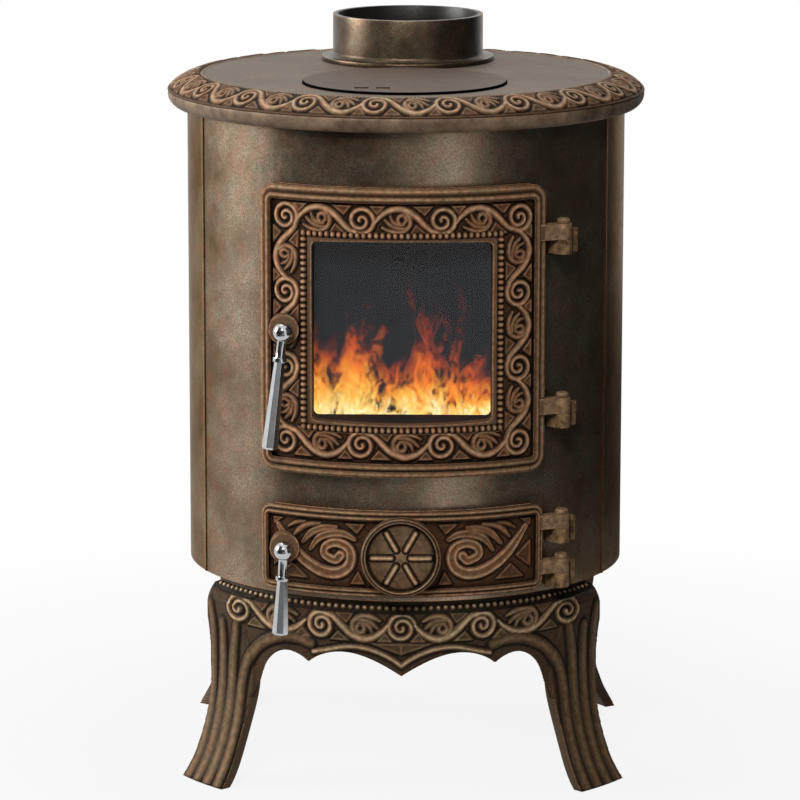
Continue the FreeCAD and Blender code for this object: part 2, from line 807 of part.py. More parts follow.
def ash_pan():
    low = base_top_z + runner_height
    half, back = pan_width / 2, pan_front_y + pan_length
    shell = box((-half, pan_front_y, low), (half, back, low + pan_height))
    return shell.cut(box((pan_wall - half, pan_front_y + pan_wall, low + pan_wall),
                         (half - pan_wall, back - pan_wall, low + pan_height + overrun)))


def ash_pan_bail():
    """Bent wire pull on the front of the ash pan."""
    z = base_top_z + runner_height + pan_height * (1 - bail_drop_share)
    half, out = bail_span / 2, pan_front_y - bail_reach
    bend = bail_corner * (1 - math.sqrt(0.5))
    edges = []
    for side in (-1, 1):
        near = V(side * half, out + bail_corner, z)
        far = V(side * (half - bail_corner), out, z)
        middle = V(side * (half - bend), out + bend, z)
        edges.append(Part.makeLine(V(side * half, pan_front_y, z), near))
        edges.append(Part.Arc(near, middle, far).toShape())
    edges.append(Part.makeLine(V(bail_corner - half, out, z), V(half - bail_corner, out, z)))
    path = Part.Wire(Part.__sortEdges__(edges))
    start = path.OrderedVertexes[0].Point
    profile = Part.Wire(Part.makeCircle(bail_radius, start, BACK))
    return path.makePipeShell([profile], True, False)


def ridged_plate(low_z, height, angle, corner, low_width, high_width):
    """A curved door plate with a low outer ridge and a higher inner ridge round its face."""
    high_z = low_z + height
    root = door_face - door_plate / 2
    outline = (low_z, high_z, angle, corner)
    through = (root - overrun, door_face + overrun)
    plate = rounded_sector(door_inner, door_face, *outline)
    low_ridge = rounded_sector(root, door_face + ridge_low, *outline)
    low_ridge = low_ridge.cut(inset_sector(*through, *outline, low_width))
    high_ridge = inset_sector(root, door_face + ridge_high, *outline, low_width)
    high_ridge = high_ridge.cut(inset_sector(*through, *outline, low_width + high_width))
    return joined([plate, low_ridge, high_ridge])


def seal_ring(low_z, height, angle, corner, inset, width, slack, r0, r1):
    """A ring that follows the door's edge: the rope seal, or its groove when slack is added."""
    args = (low_z, low_z + height, angle, corner)
    outer = inset_sector(r0, r1, *args, inset - slack)
    return outer.cut(inset_sector(r0 - overrun, r1 + overrun, *args, inset + width + slack))


def handle_boss(z):
    """Round boss on a door's face for the spindle, with a smaller hub behind the door."""
    boss = rod(boss_radius, V(handle_x, boss_front_y, z), V(handle_x, hub_back_y - hub_radius, z))
    hub = rod(hub_radius, V(handle_x, boss_front_y, z), V(handle_x, hub_back_y, z))
    back = Part.makeCylinder(door_inner, 2 * overrun, V(0, 0, z - overrun))
    return joined([boss.cut(back), hub])


def spindle_hole(z):
    return rod(spindle_radius + pin_clearance, V(handle_x, boss_front_y - overrun, z), V(handle_x, 0, z))


def hinge_strap(z, height):
    """A strap from the door's edge to an eye round the hinge pin."""
    pin = polar(pin_r, hinge_angle, z)
    root = polar(door_face, strap_root_angle, z)
    along = pin - root
    bar = Part.makeBox(along.Length, strap_thickness, height, V(0, -strap_thickness / 2, 0))
    bar.rotate(ORIGIN, UP, math.degrees(math.atan2(along.y, along.x)))
    bar.translate(root)
    return joined([bar, rod(hinge_eye_radius, pin, pin + UP * height)])


def strap_hole(z):
    pin = polar(pin_r, hinge_angle, z)
    return rod(hinge_pin_radius + pin_clearance, pin - UP * overrun, pin + UP * overrun)


def rounded_rectangle(half_width, z0, z1, corner, y):
    """A closed outline in a plane across Y."""
    bend = corner * (1 - math.sqrt(0.5))
    edges, ends = [], []
    for sx, z, sz in ((1, z0, 1), (1, z1, -1), (-1, z1, -1), (-1, z0, 1)):
        flat = V(sx * (half_width - corner), y, z)
        upright = V(sx * half_width, y, z + sz * corner)
        middle = V(sx * (half_width - bend), y, z + sz * bend)
        edges.append(Part.Arc(flat, middle, upright).toShape())
        ends.append((flat, upright))
    for i, j, k in ((0, 1, 1), (1, 2, 0), (2, 3, 1), (3, 0, 0)):
        edges.append(Part.makeLine(ends[i][k], ends[j][k]))
    return Part.Wire(Part.__sortEdges__(edges))


def window_block(margin, z_margin, front_y, back_y):
    """A block round the window's inner outline, from one plane across Y to another."""
    half = window_half_width - window_side_draft + margin
    low = window_z + window_sill_draft - z_margin
    high = window_z + window_height - window_sill_draft + z_margin
    return box((-half, front_y, low), (half, back_y, high))


def window_cutter():
    """The drafted window opening, wider at the door's face than at the glass."""
    face_y = -(door_face + pad_height)
    slope = overrun / (glass_seat_y - face_y)
    wires = []
    for share in (-slope, 1 + slope):
        side = window_side_draft * share
        sill = window_sill_draft * share
        y = face_y + (glass_seat_y - face_y) * share
        wires.append(rounded_rectangle(window_half_width - side, window_z + sill,
                                       window_z + window_height - sill, window_corner, y))
    return Part.makeLoft(wires, True, True)


def clip_places():
    """Side and height of each glass clip."""
    low = window_z + clip_inset
    high = window_z + window_height - clip_inset
    return [(side, z) for side in (-1, 1) for z in (low, high)]


def fire_door():
    """Curved glazed door: ridged plate, raised window surround, flat glass seat, boss and hinge straps."""
    door = ridged_plate(fire_door_z, fire_door_height, fire_door_angle, fire_door_corner,
                        fire_ridge_low_width, fire_ridge_high_width)
    surround = Part.makeCylinder(door_face + pad_height, fire_door_top_z, ORIGIN)
    pad_side = window_side_draft + pad_margin
    pad_sill = window_sill_draft + pad_margin
    surround = surround.common(window_block(pad_side, pad_sill, -door_face - overrun, glass_seat_y))
    back = Part.makeCylinder(door_face, fire_door_top_z, ORIGIN)
    seat = back.common(window_block(glass_overlap + clip_land, glass_overlap + glass_wall,
                                    -door_face - overrun, glass_seat_y))
    straps = [hinge_strap(z, fire_strap_height) for z in fire_strap_zs()]
    door = joined([door, surround, seat, handle_boss(fire_handle_z)] + straps)
    groove = seal_ring(fire_door_z, fire_door_height, fire_door_angle, fire_door_corner, fire_seal_inset,
                       fire_seal_width, seal_side_gap, door_inner - overrun, door_inner + seal_groove_depth)
    for cutter in [window_cutter(), spindle_hole(fire_handle_z), groove] + clip_screw_holes():
        door = door.cut(cutter)
    for z in fire_strap_zs():
        door = door.cut(strap_hole(z))
    return door


def clip_screw_holes():
    x = glass_half_width + clip_land / 2
    holes = []
    for side, z in clip_places():
        seat = V(side * x, glass_seat_y, z)
        holes.append(rod(clip_screw_radius, seat + FRONT * clip_screw_depth, seat))
    return holes


def fire_door_seal():
    return seal_ring(fire_door_z, fire_door_height, fire_door_angle, fire_door_corner, fire_seal_inset,
                     fire_seal_width, 0, body_radius + seat_gap, door_inner + seal_groove_depth)


def glass_gasket():
    """Flat tape between the door's seat and the edge of the glass."""
    y = glass_seat_y
    ring = window_block(glass_overlap, glass_overlap, y, y + gasket_thickness)
    return ring.cut(window_block(seat_gap, seat_gap, y - overrun, y + overrun))


def door_glass():
    y = glass_seat_y + gasket_thickness
    return window_block(glass_overlap, glass_overlap, y, y + glass_thickness)


def glass_clips():
    """Stepped clips that stand on the door's seat and press on the glass."""
    rear = glass_seat_y + gasket_thickness + glass_thickness
    clips = []
    for side, z in clip_places():
        edge = glass_half_width
        low, high = z - clip_height / 2, z + clip_height / 2
        spans = [(edge - clip_bite, edge + clip_land, rear),
                 (edge + seat_gap, edge + clip_land, glass_seat_y)]
        blocks = []
        for near, far, y in spans:
            xs = sorted((side * near, side * far))
            blocks.append(box((xs[0], y, low), (xs[1], rear + clip_thickness, high)))
        x = side * (edge + clip_land / 2)
        hole = rod(clip_screw_radius, V(x, glass_seat_y - overrun, z), V(x, overrun, z))
        clips.append(joined(blocks).cut(hole))
    return Part.makeCompound(clips)


def glass_clip_screws():
    rear = glass_seat_y + gasket_thickness + glass_thickness + clip_thickness
    x = glass_half_width + clip_land / 2
    screws = []
    for side, z in clip_places():
        tip = V(side * x, glass_seat_y - clip_screw_depth, z)
        seat = V(side * x, rear, z)
        screws.append(joined([rod(clip_screw_radius, tip, seat),
                              rod(clip_head_radius, seat, seat + BACK * clip_head_height)]))
    return Part.makeCompound(screws)


def ash_door():
    """Curved ash door with a round draft seat, its air holes, a handle boss and hinge straps."""
    door = ridged_plate(ash_door_z, ash_door_height, ash_door_angle, ash_door_corner,
                        ash_ridge_low_width, ash_ridge_high_width)
    centre = V(0, 0, draft_z)
    seat = rod(draft_seat_radius, centre + BACK * draft_seat_y, centre)
    seat = seat.cut(Part.makeCylinder(door_inner, 2 * ash_door_height, V(0, 0, draft_z - ash_door_height)))
    straps = [hinge_strap(z, ash_strap_height) for z in ash_strap_zs()]
    door = joined([door, seat, handle_boss(ash_handle_z)] + straps)
    cuts = [spindle_hole(ash_handle_z)]
    cuts.append(rod(draft_stud_radius + pin_clearance, centre + BACK * (draft_seat_y - overrun), centre))
    for i in range(draft_hole_count):
        a = 2 * math.pi * (i + 0.5) / draft_hole_count
        at = centre + V(draft_hole_circle * math.cos(a), 0, draft_hole_circle * math.sin(a))
        cuts.append(rod(draft_hole_radius, at + BACK * (draft_seat_y - overrun), at))
    cuts.append(seal_ring(ash_door_z, ash_door_height, ash_door_angle, ash_door_corner, ash_seal_inset,
                          ash_seal_width, seal_side_gap, door_inner - overrun,
                          door_inner + seal_groove_depth))
    cuts += [strap_hole(z) for z in ash_strap_zs()]
    for cutter in cuts:
        door = door.cut(cutter)
    return door


def ash_door_seal():
    return seal_ring(ash_door_z, ash_door_height, ash_door_angle, ash_door_corner, ash_seal_inset,
                     ash_seal_width, 0, body_radius + seat_gap, door_inner + seal_groove_depth)


def hinge_pins(strap_zs, strap_height, lug_height):
    """Headed pins dropped through the straps into the lugs."""
    pins = []
    for z in strap_zs:
        foot = polar(pin_r, hinge_angle, z - seat_gap - lug_height)
        seat = polar(pin_r, hinge_angle, z + strap_height + seat_gap)
        crown = seat + UP * pin_head_height
        pin = joined([rod(hinge_pin_radius, foot, seat), rod(pin_head_radius, seat, crown)])
        rim = [e for e in pin.Edges if e.Closed and abs(e.BoundBox.ZMin - crown.z) < seat_gap]
        pins.append(pin.makeFillet(pin_head_height / 2, rim))
    return Part.makeCompound(pins)


def leaned(shape, z, lean):
    """Turns a hanging handle about its spindle, its lower end towards -X."""
    shape.rotate(V(handle_x, 0, z), BACK, lean)
    return shape


def ball_y():
    return boss_front_y - ball_stand


def handle(z, lean):
    """Spindle with a ball elbow, a hanging neck and a collar ring."""
    ball = V(handle_x, ball_y(), z)
    tongue_back = V(handle_x, tongue_front_y + tongue_thickness + latch_nut_height, z)
    shoulder = V(handle_x, tongue_front_y, z)
    ring_top = ball - UP * neck_length
    ring_low = ring_top - UP * collar_ring_height
    pieces = [Part.makeSphere(ball_radius, ball), rod(spindle_radius, ball, shoulder),
              rod(spindle_end_radius, shoulder, tongue_back), rod(neck_radius, ball, ring_low),
              rod(collar_ring_radius, ring_top, ring_low)]
    return leaned(joined(pieces), z, lean)


def octagon(flats, z):
    radius = flats / 2 / math.cos(math.pi / grip_sides)
    turn = math.pi / grip_sides
    corners = []
    for i in range(grip_sides):
        a = turn * (2 * i + 1)
        corners.append(V(handle_x + radius * math.cos(a), ball_y() + radius * math.sin(a), z))
    return Part.makePolygon(corners + corners[:1])


def grip(z, length, lean):
    """Eight-sided grip that widens to its bevelled lower end."""
    top = z - neck_length - collar_ring_height
    wires = [octagon(grip_top_flats, top), octagon(grip_end_flats, top - length + grip_bevel),
             octagon(grip_end_flats - grip_bevel, top - length)]
    return leaned(Part.makeLoft(wires, True, True), z, lean)


def latch_spacer(z):
    start, end = V(handle_x, hub_back_y, z), V(handle_x, tongue_front_y, z)
    return rod(spacer_radius, start, end).cut(rod(spindle_radius, start, end))


def latch_tongue(z):
    """Flat tongue that hangs with the grip and swings behind the panel's edge when the handle is turned."""
    front, back = tongue_front_y, tongue_front_y + tongue_thickness
    left, right = handle_x - tongue_half_width, handle_x + tongue_half_width
    bar = box((left, front, z - tongue_reach), (right, back, z))
    eye = rod(tongue_half_width, V(handle_x, front, z), V(handle_x, back, z))
    return joined([bar, eye]).cut(rod(spindle_end_radius, V(handle_x, front, z), V(handle_x, back, z)))


def latch_nut(z):
    base = V(handle_x, tongue_front_y + tongue_thickness, z)
    body = hexagon(latch_nut_flats, latch_nut_height, base, BACK)
    return body.cut(rod(spindle_end_radius, base, base + BACK * latch_nut_height))


def slot_prism(x0, x1, radius, z0, z1):
    """An upright bar along X with round ends."""
    ends = [V(x0, 0, z0), V(x1, 0, z0)]
    tips = [V(x0 - radius, 0, z0), V(x1 + radius, 0, z0)]
    edges = [Part.makeLine(ends[0] + V(0, -radius, 0), ends[1] + V(0, -radius, 0)),
             Part.Arc(ends[1] + V(0, -radius, 0), tips[1], ends[1] + V(0, radius, 0)).toShape(),
             Part.makeLine(ends[1] + V(0, radius, 0), ends[0] + V(0, radius, 0)),
             Part.Arc(ends[0] + V(0, radius, 0), tips[0], ends[0] + V(0, -radius, 0)).toShape()]
    return Part.Face(Part.Wire(edges)).extrude(UP * (z1 - z0))


def draft_disc():
    """Screw-in air disc: raised rim, groove, slightly domed middle and raised finger ribs."""
    rim_in = draft_radius - draft_ring_width
    groove_in = rim_in - draft_groove_width
    face = draft_thickness - draft_ring_height
    floor = face - draft_groove_depth
    side = face / 2
    lines = [V(0, 0, 0), V(draft_radius - draft_ring_height, 0, 0), V(draft_radius, 0, draft_ring_height),
             V(draft_radius, 0, side + draft_ring_height),
             V(draft_radius - draft_ring_height / 2, 0, draft_thickness),
             V(rim_in + draft_ring_height / 2, 0, draft_thickness), V(rim_in, 0, face), V(rim_in, 0, floor),
             V(groove_in, 0, floor), V(groove_in, 0, face),
             V(groove_in * dome_flat_share, 0, face + draft_dome), V(0, 0, face + draft_dome)]
    disc = Part.Face(Part.makePolygon(lines + lines[:1])).revolve(ORIGIN, UP, 360)
    ribs = []
    for i in range(rib_count):
        rib = slot_prism(draft_radius * rib_inner_share, draft_radius * rib_outer_share, rib_width / 2,
                         face / 2, face + rib_height)
        rib.rotate(ORIGIN, UP, i * 360 / rib_count)
        ribs.append(rib)
    disc = joined([disc] + ribs)
    disc = disc.cut(rod(draft_stud_radius + pin_clearance, ORIGIN, UP * (draft_stud_bite + seat_gap)))
    forward = FreeCAD.Rotation(UP, FRONT)
    disc.Placement = FreeCAD.Placement(V(0, draft_seat_y - seat_gap, draft_z), forward)
    return disc


def draft_stud():
    front = V(0, draft_seat_y - seat_gap - draft_stud_bite, draft_z)
    return rod(draft_stud_radius, front, front + BACK * draft_stud_length)


def draft_stop_nut():
    base = V(0, draft_seat_y - seat_gap - draft_stud_bite + draft_stud_length - stop_nut_height, draft_z)
    body = hexagon(stop_nut_flats, stop_nut_height, base, BACK)
    return body.cut(rod(draft_stud_radius, base, base + BACK * stop_nut_height))


def turned_round(shape):
    shape.rotate(ORIGIN, UP, 180)
    return shape


nodes = {
    "front_leg_frame": leg_frame(),
    "rear_leg_frame": turned_round(leg_frame()),
    "base_plate": base_plate(),
    "base_bolts": clamp_bolts(),
    "base_nuts": clamp_nuts(),
    "front_panel": front_panel(),
    "right_panel": side_panel(1),
    "left_panel": side_panel(-1),
    "panel_bolts": seam_bolts(),
    "panel_nuts": seam_nuts(),
    "top_plate": top_plate(),
    "top_plate_bolts": top_bolts(),
    "cooking_lid": cooking_lid(),
    "flue_collar": flue_collar(),
    "flue_collar_bolts": collar_bolts(),
    "hearth_plate": hearth_plate(),
    "fire_grate": fire_grate(),
    "log_guard": log_guard(),
    "baffle_plate": baffle_plate(),
    "ash_pan": ash_pan(),
    "ash_pan_bail": ash_pan_bail(),
    "fire_door": fire_door(),
    "fire_door_seal": fire_door_seal(),
    "glass_gasket": glass_gasket(),
    "door_glass": door_glass(),
    "glass_clips": glass_clips(),
    "glass_clip_screws": glass_clip_screws(),
    "fire_door_hinge_pins": hinge_pins(fire_strap_zs(), fire_strap_height, fire_lug_height),
    "ash_door": ash_door(),
    "ash_door_seal": ash_door_seal(),
    "ash_door_hinge_pins": hinge_pins(ash_strap_zs(), ash_strap_height, ash_lug_height),
    "draft_disc": draft_disc(),
    "draft_stud": draft_stud(),
    "draft_stop_nut": draft_stop_nut(),
}
for index in range(2 * brick_count):
    nodes["lining_brick_%d" % (index + 1)] = lining_brick(index)
for name, z, length, lean in (("fire_door", fire_handle_z, fire_grip_length, fire_lean_angle),
                              ("ash_door", ash_handle_z, ash_grip_length, ash_lean_angle)):
    nodes[name + "_handle"] = handle(z, lean)
    nodes[name + "_grip"] = grip(z, length, lean)
    nodes[name + "_latch_spacer"] = latch_spacer(z)
    nodes[name + "_latch_tongue"] = latch_tongue(z)
    nodes[name + "_latch_nut"] = latch_nut(z)

os.makedirs("parts", exist_ok=True)
for name, shape in nodes.items():
    shape.exportStep("parts/%s.step" % name)
    print(name, len(shape.Solids), shape.isValid(), round(shape.Volume))
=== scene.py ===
import bpy
import math
import numpy as np
from mathutils import Matrix, Vector
from mathutils.bvhtree import BVHTree


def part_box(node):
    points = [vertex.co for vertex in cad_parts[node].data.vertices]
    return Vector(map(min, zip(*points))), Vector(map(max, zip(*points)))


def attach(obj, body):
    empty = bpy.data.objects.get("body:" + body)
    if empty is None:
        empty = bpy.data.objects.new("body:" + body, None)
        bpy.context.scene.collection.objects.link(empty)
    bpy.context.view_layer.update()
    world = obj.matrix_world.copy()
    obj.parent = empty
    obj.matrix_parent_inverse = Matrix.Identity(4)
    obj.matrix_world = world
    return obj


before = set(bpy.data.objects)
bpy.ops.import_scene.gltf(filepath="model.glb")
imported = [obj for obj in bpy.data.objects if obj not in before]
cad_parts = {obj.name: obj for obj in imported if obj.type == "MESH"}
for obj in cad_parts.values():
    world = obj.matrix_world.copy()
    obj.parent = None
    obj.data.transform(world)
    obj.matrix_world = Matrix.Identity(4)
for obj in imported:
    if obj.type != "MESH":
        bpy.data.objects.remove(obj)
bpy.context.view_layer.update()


# Leg castings: front and rear are the same grey-iron casting, an apron with two splayed and fluted legs,
# bolted up under the base plate. They are sprayed black, dusted with bronze and rubbed, so that the
# recesses stay dark and the raised vine, ribs and beads shine copper. Round the foot of each strand the
# dark is deepened by painted shade, and the crests carry a painted highlight.

def linear(code):
    """Linear colour of an sRGB hex code."""
    parts = [int(code[i:i + 2], 16) / 255 for i in (1, 3, 5)]
    return [p / 12.92 if p <= 0.04045 else ((p + 0.055) / 1.055) ** 2.4 for p in parts] + [1.0]


def fit(tree, node, inputs):
    """Sets a node's inputs to values, or links them to the outputs of other nodes."""
    for key, value in inputs.items():
        if isinstance(value, bpy.types.NodeSocket):
            tree.links.new(value, node.inputs[key])
        else:
            node.inputs[key].default_value = value


def add(tree, kind, inputs, out=0, stops=(), **settings):
    """Adds a shader node with its settings, values and links, and gives one of its outputs.

    A colour ramp also takes stops, which are pairs of place and hex colour.
    """
    made = tree.nodes.new("ShaderNode" + kind)
    for key, value in settings.items():
        setattr(made, key, value)
    fit(tree, made, inputs)
    for number, (place, code) in enumerate(stops):
        marks = made.color_ramp.elements
        if number == len(marks):
            marks.new(1.0)
        marks[number].position = place
        marks[number].color = linear(code)
    return made.outputs[out]


def mottled(tree, size_mm, detail=3.0, roughness=0.55, stops=()):
    """Blots about size_mm across, from 0 to 1 or, with stops, from colour to colour."""
    place = add(tree, "TexCoord", {}, "Object")
    blots = add(tree, "TexNoise", {"Vector": place, "Scale": 1000.0 / size_mm, "Detail": detail,
                                   "Roughness": roughness})
    return add(tree, "ValToRGB", {"Fac": blots}, stops=stops) if stops else blots


def new_material(name):
    """A new material with its node tree and its shader."""
    made = bpy.data.materials.new(name)
    made.use_nodes = True
    return made, made.node_tree, made.node_tree.nodes["Principled BSDF"]


def bronzed_iron(name, ground, dust, edge=None, relief=None, dusting=0.6, cloud_mm=120, metal=0.3,
                 shine=0.62):
    """Sand-cast iron in antique bronze: dull clouds of powder on a dark ground, rubbed bright in places.

    ground is a pair of colours. The edges of a plain casting are rubbed to the edge colour, which also serves
    as a painted highlight along them. With relief, the stops of a ramp, the colour follows instead how far
    each point of an ornament is rubbed, with a painted highlight on its crests and painted shade round its
    foot. Hollows and corners are darkened with painted shade from ambient occlusion.
    """
    made, tree, shader = new_material(name)
    colour = mottled(tree, 90, 5.0, 0.6, [(0.0, ground[0]), (1.0, ground[1])])
    clouds = mottled(tree, cloud_mm, 4.0, 0.6, [(0.3, "#202020"), (0.76, "#ffffff")])
    # Bronze powder and moulding sand are finer than 0.3 mm, so both are drawn about 1.5 mm coarse to show.
    specks = mottled(tree, 1.6, 3.0, 0.7, [(0.3, "#303030"), (0.72, "#ffffff")])
    grain = mottled(tree, 1.5, 2.0, 0.6)
    powder = add(tree, "Math", {0: clouds, 1: specks}, operation="MULTIPLY")
    powder = add(tree, "Math", {0: powder, 1: dusting}, operation="MULTIPLY")
    colour = add(tree, "MixRGB", {"Fac": powder, "Color1": colour, "Color2": linear(dust)})
    if relief:
        height = add(tree, "Attribute", {}, "Fac", attribute_name="relief")
        tone = add(tree, "ValToRGB", {"Fac": height}, stops=relief)
        uneven = mottled(tree, 5, 3.0, 0.6, [(0.3, "#b4b4b4"), (0.7, "#ffffff")])
        tone = add(tree, "MixRGB", {"Fac": 1.0, "Color1": tone, "Color2": uneven}, blend_type="MULTIPLY")
        colour = add(tree, "MixRGB", {"Fac": 0.9, "Color1": colour, "Color2": tone})
    else:
        # Convex edges are rubbed to the edge colour, and this lighter edge is also a painted highlight.
        thin = add(tree, "AmbientOcclusion", {"Distance": 0.0022}, "AO", samples=6, inside=True,
                   only_local=True)
        rim = add(tree, "ValToRGB", {"Fac": thin}, stops=[(0.5, "#ffffff"), (0.88, "#000000")])
        uneven = mottled(tree, 4, 3.0, 0.6, [(0.35, "#303030"), (0.65, "#ffffff")])
        worn_and_highlit_edges = add(tree, "Math", {0: rim, 1: uneven}, operation="MULTIPLY")
        colour = add(tree, "MixRGB", {"Fac": worn_and_highlit_edges, "Color1": colour, "Color2": linear(edge)})
    patina = mottled(tree, 16, 4.0, 0.6, [(0.36, "#ffe9dc"), (0.64, "#f0f3e6")])
    # Painted shade: occlusion darkens the colour in hollows, in corners and round the foot of raised parts.
    hollow = add(tree, "AmbientOcclusion", {"Distance": 0.006}, "AO", samples=6)
    shade = add(tree, "ValToRGB", {"Fac": hollow}, stops=[(0.2, "#3a302a"), (0.85, "#ffffff")])
    for veil in (patina, shade):
        colour = add(tree, "MixRGB", {"Fac": 1.0, "Color1": colour, "Color2": veil}, blend_type="MULTIPLY")
    gloss = add(tree, "MapRange", {"Value": mottled(tree, 9, 4.0, 0.6), "To Min": shine - 0.1,
                                   "To Max": shine + 0.1})
    rough = add(tree, "Bump", {"Height": grain, "Strength": 0.25, "Distance": 0.0006})
    fit(tree, shader, {"Base Color": colour, "Metallic": metal, "Roughness": gloss, "Normal": rough,
                       "Specular IOR Level": 0.1 if relief else 0.3})
    return made


def dress(material, *names, bevel=0.0):
    """Gives CAD nodes a material and, where they are cast or turned, softly rounded edges."""
    for name in names:
        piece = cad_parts[name]
        if not piece.material_slots:
            piece.data.materials.append(material)
        for slot in piece.material_slots:
            slot.material = material
        if bevel:
            weld = piece.modifiers.new("weld", "WELD")
            weld.merge_threshold = 0.00002
            soft = piece.modifiers.new("soft_edges", "BEVEL")
            soft.width = bevel
            soft.segments = 2
            soft.limit_method = "ANGLE"
            soft.angle_limit = math.radians(40)


def box_mm(node):
    """Lowest and highest corners of a CAD node, to a tenth of a millimetre."""
    return [[round(1000.0 * c, 1) for c in corner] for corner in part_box(node)]


def smooth(points, steps=8):
    """Points along a smooth curve through the given ones."""
    p = np.array(points, float)
    p = np.vstack([2 * p[0] - p[1], p, 2 * p[-1] - p[-2]])
    t = np.linspace(0, 1, steps, endpoint=False)[:, None]
    runs = [0.5 * (2 * b + (c - a) * t + (2 * a - 5 * b + 4 * c - d) * t ** 2
                   + (3 * b - a - 3 * c + d) * t ** 3)
            for a, b, c, d in zip(p, p[1:], p[2:], p[3:])]
    return np.vstack(runs + [p[-2:-1]])


def strand(field, points, widths, height, fullness=0.7, hollow=0.0):
    """Raises a rounded strand on a height field; widths are half-widths from its first point to its last.

    A share of its height can be hollowed out in a gutter along the middle.
    """
    u, v, h = field
    gutter = 0.55
    points = np.array(points, float)
    half = np.interp(np.linspace(0, 1, len(points)), np.linspace(0, 1, len(widths)), widths)
    low, high = points.min(axis=0) - half.max(), points.max(axis=0) + half.max()
    near = (u > low[0]) & (u < high[0]) & (v > low[1]) & (v < high[1])
    spots = np.column_stack([u[near], v[near]])
    off = np.full(len(spots), np.inf)
    for a, b, wide_a, wide_b in zip(points, points[1:], half, half[1:]):
        step = b - a
        t = np.clip((spots - a) @ step / max(step @ step, 1e-9), 0, 1)
        away = np.linalg.norm(spots - a - t[:, None] * step, axis=1)
        off = np.minimum(off, away / (wide_a + (wide_b - wide_a) * t))
    bow = np.clip(1 - off ** 2, 0, None) ** fullness
    bow *= 1 - hollow * np.clip(1 - (off / gutter) ** 2, 0, None)
    h[near] = np.maximum(h[near], height * bow)


def wedge(field, corners, height):
    """Raises a three-cornered filler with a sunk middle."""
    u, v, h = field
    lip, sunk = 0.9, 0.45
    c = np.array(corners, float)
    (ax, ay), (bx, by) = c[1] - c[0], c[2] - c[0]
    if ax * by - ay * bx < 0:
        c = c[::-1]
    depth = np.full(u.shape, np.inf)
    for a, b in zip(c, np.roll(c, -1, axis=0)):
        edge = b - a
        depth = np.minimum(depth, (edge[0] * (v - a[1]) - edge[1] * (u - a[0])) / np.hypot(*edge))
    raised = np.clip(depth / lip, 0, 1) - sunk * np.clip(depth / lip - 2, 0, 1)
    np.maximum(h, height * raised, out=h)


def vine_wave(field, place, length, height=2.2, curl=1.0, stout=1.1):
    """One wave of the running vine: the stem goes over a leafy curl, then rolls up into a plain spiral.

    It is drawn 79 mm long, in mm along and across the band, and stretched to length; curl widens the spiral,
    stout widens the strands and place sets the wave on the field.
    """
    drawn_length = 79.0
    stretch = length / drawn_length

    def lay(points, widths, share=1.0):
        line = [place(s * stretch, t) for s, t in points]
        strand(field, line, [stout * w for w in widths], height * share, fullness=0.5)

    turn = np.arange(-125, 561, 15)
    radius = np.interp(turn, [-125, 0, 90, 180, 270, 360, 450, 560],
                       [12.4, 11.8, 10.8, 9.3, 7.0, 5.0, 3.4, 1.2])
    spiral = np.column_stack([drawn_length + curl * radius * np.cos(np.radians(turn)) / stretch,
                              -0.5 + radius * np.sin(np.radians(turn))])
    stem = smooth([(13, -3), (18, 3), (26, 8.6), (36, 11), (46, 8.3), (54, 3), (62, -5), (68, -9.9),
                   spiral[0]])
    lay(np.vstack([stem, spiral[1:]]), [1.6, 2.6, 3.3, 3.5, 3.4, 3.2, 2.9, 2.7, 2.5, 2.3, 2.1, 1.9, 2.0])
    lay(smooth([(43, 7), (47, 2.5), (47.3, -4), (43, -9.3), (36, -11.2), (28, -10), (20.5, -6.6)]),
        [2.0, 2.3, 2.4, 2.4, 2.3, 2.1, 1.4], 0.92)
    lay(smooth([(43, -7.4), (35, -7.2), (28.4, -4.4), (23, 0.4)]), [1.4, 2.0, 2.1, 1.4], 0.88)
    lay(smooth([(42, -4.2), (34.8, -3.6), (30.4, -0.4), (28.4, 4.2)]), [1.2, 1.9, 2.0, 1.3], 0.88)
    ring = np.radians(np.arange(-60, 241, 20))
    lay(np.column_stack([39.6 + 3.9 * np.cos(ring), 1.0 + 3.9 * np.sin(ring)]), [1.7, 2.1, 2.1, 1.5], 0.92)
    for corners in ([(48, 14), (71, 14), (62, 3.4)], [(7, 14), (25, 14), (15.5, 3.8)],
                    [(53, -2.6), (68, -15), (45, -14.5)]):
        wedge(field, [place(s * stretch, t) for s, t in corners], height * 0.85)


def rubbed_and_painted_light(relief, top):
    """How far each point of a relief is rubbed.

    It stays dark round the foot of a strand, which is painted shade, is brown on bare ground and bright on
    the crests, where the rub is also a painted highlight.
    """
    raised = relief > 0.03 * top
    near = raised.copy()
    for axis in (0, 1):
        for step in (-2, -1, 1, 2):
            near |= np.roll(raised, step, axis)
    return np.where(raised, 0.08 + 0.92 * relief / top, np.where(near, 0.0, 0.32))


def new_piece(name, points, faces, material, **stored):
    """A smooth mesh from points in metres, with the values that its material reads from the points."""
    mesh = bpy.data.meshes.new(name)
    mesh.from_pydata(points, [], faces)
    for key, values in stored.items():
        mesh.attributes.new(key, "FLOAT", "POINT").data.foreach_set("value", values)
    mesh.polygons.foreach_set("use_smooth", np.ones(len(mesh.polygons), bool))
    mesh.materials.append(material)
    piece = bpy.data.objects.new(name, mesh)
    bpy.context.collection.objects.link(piece)
    return piece


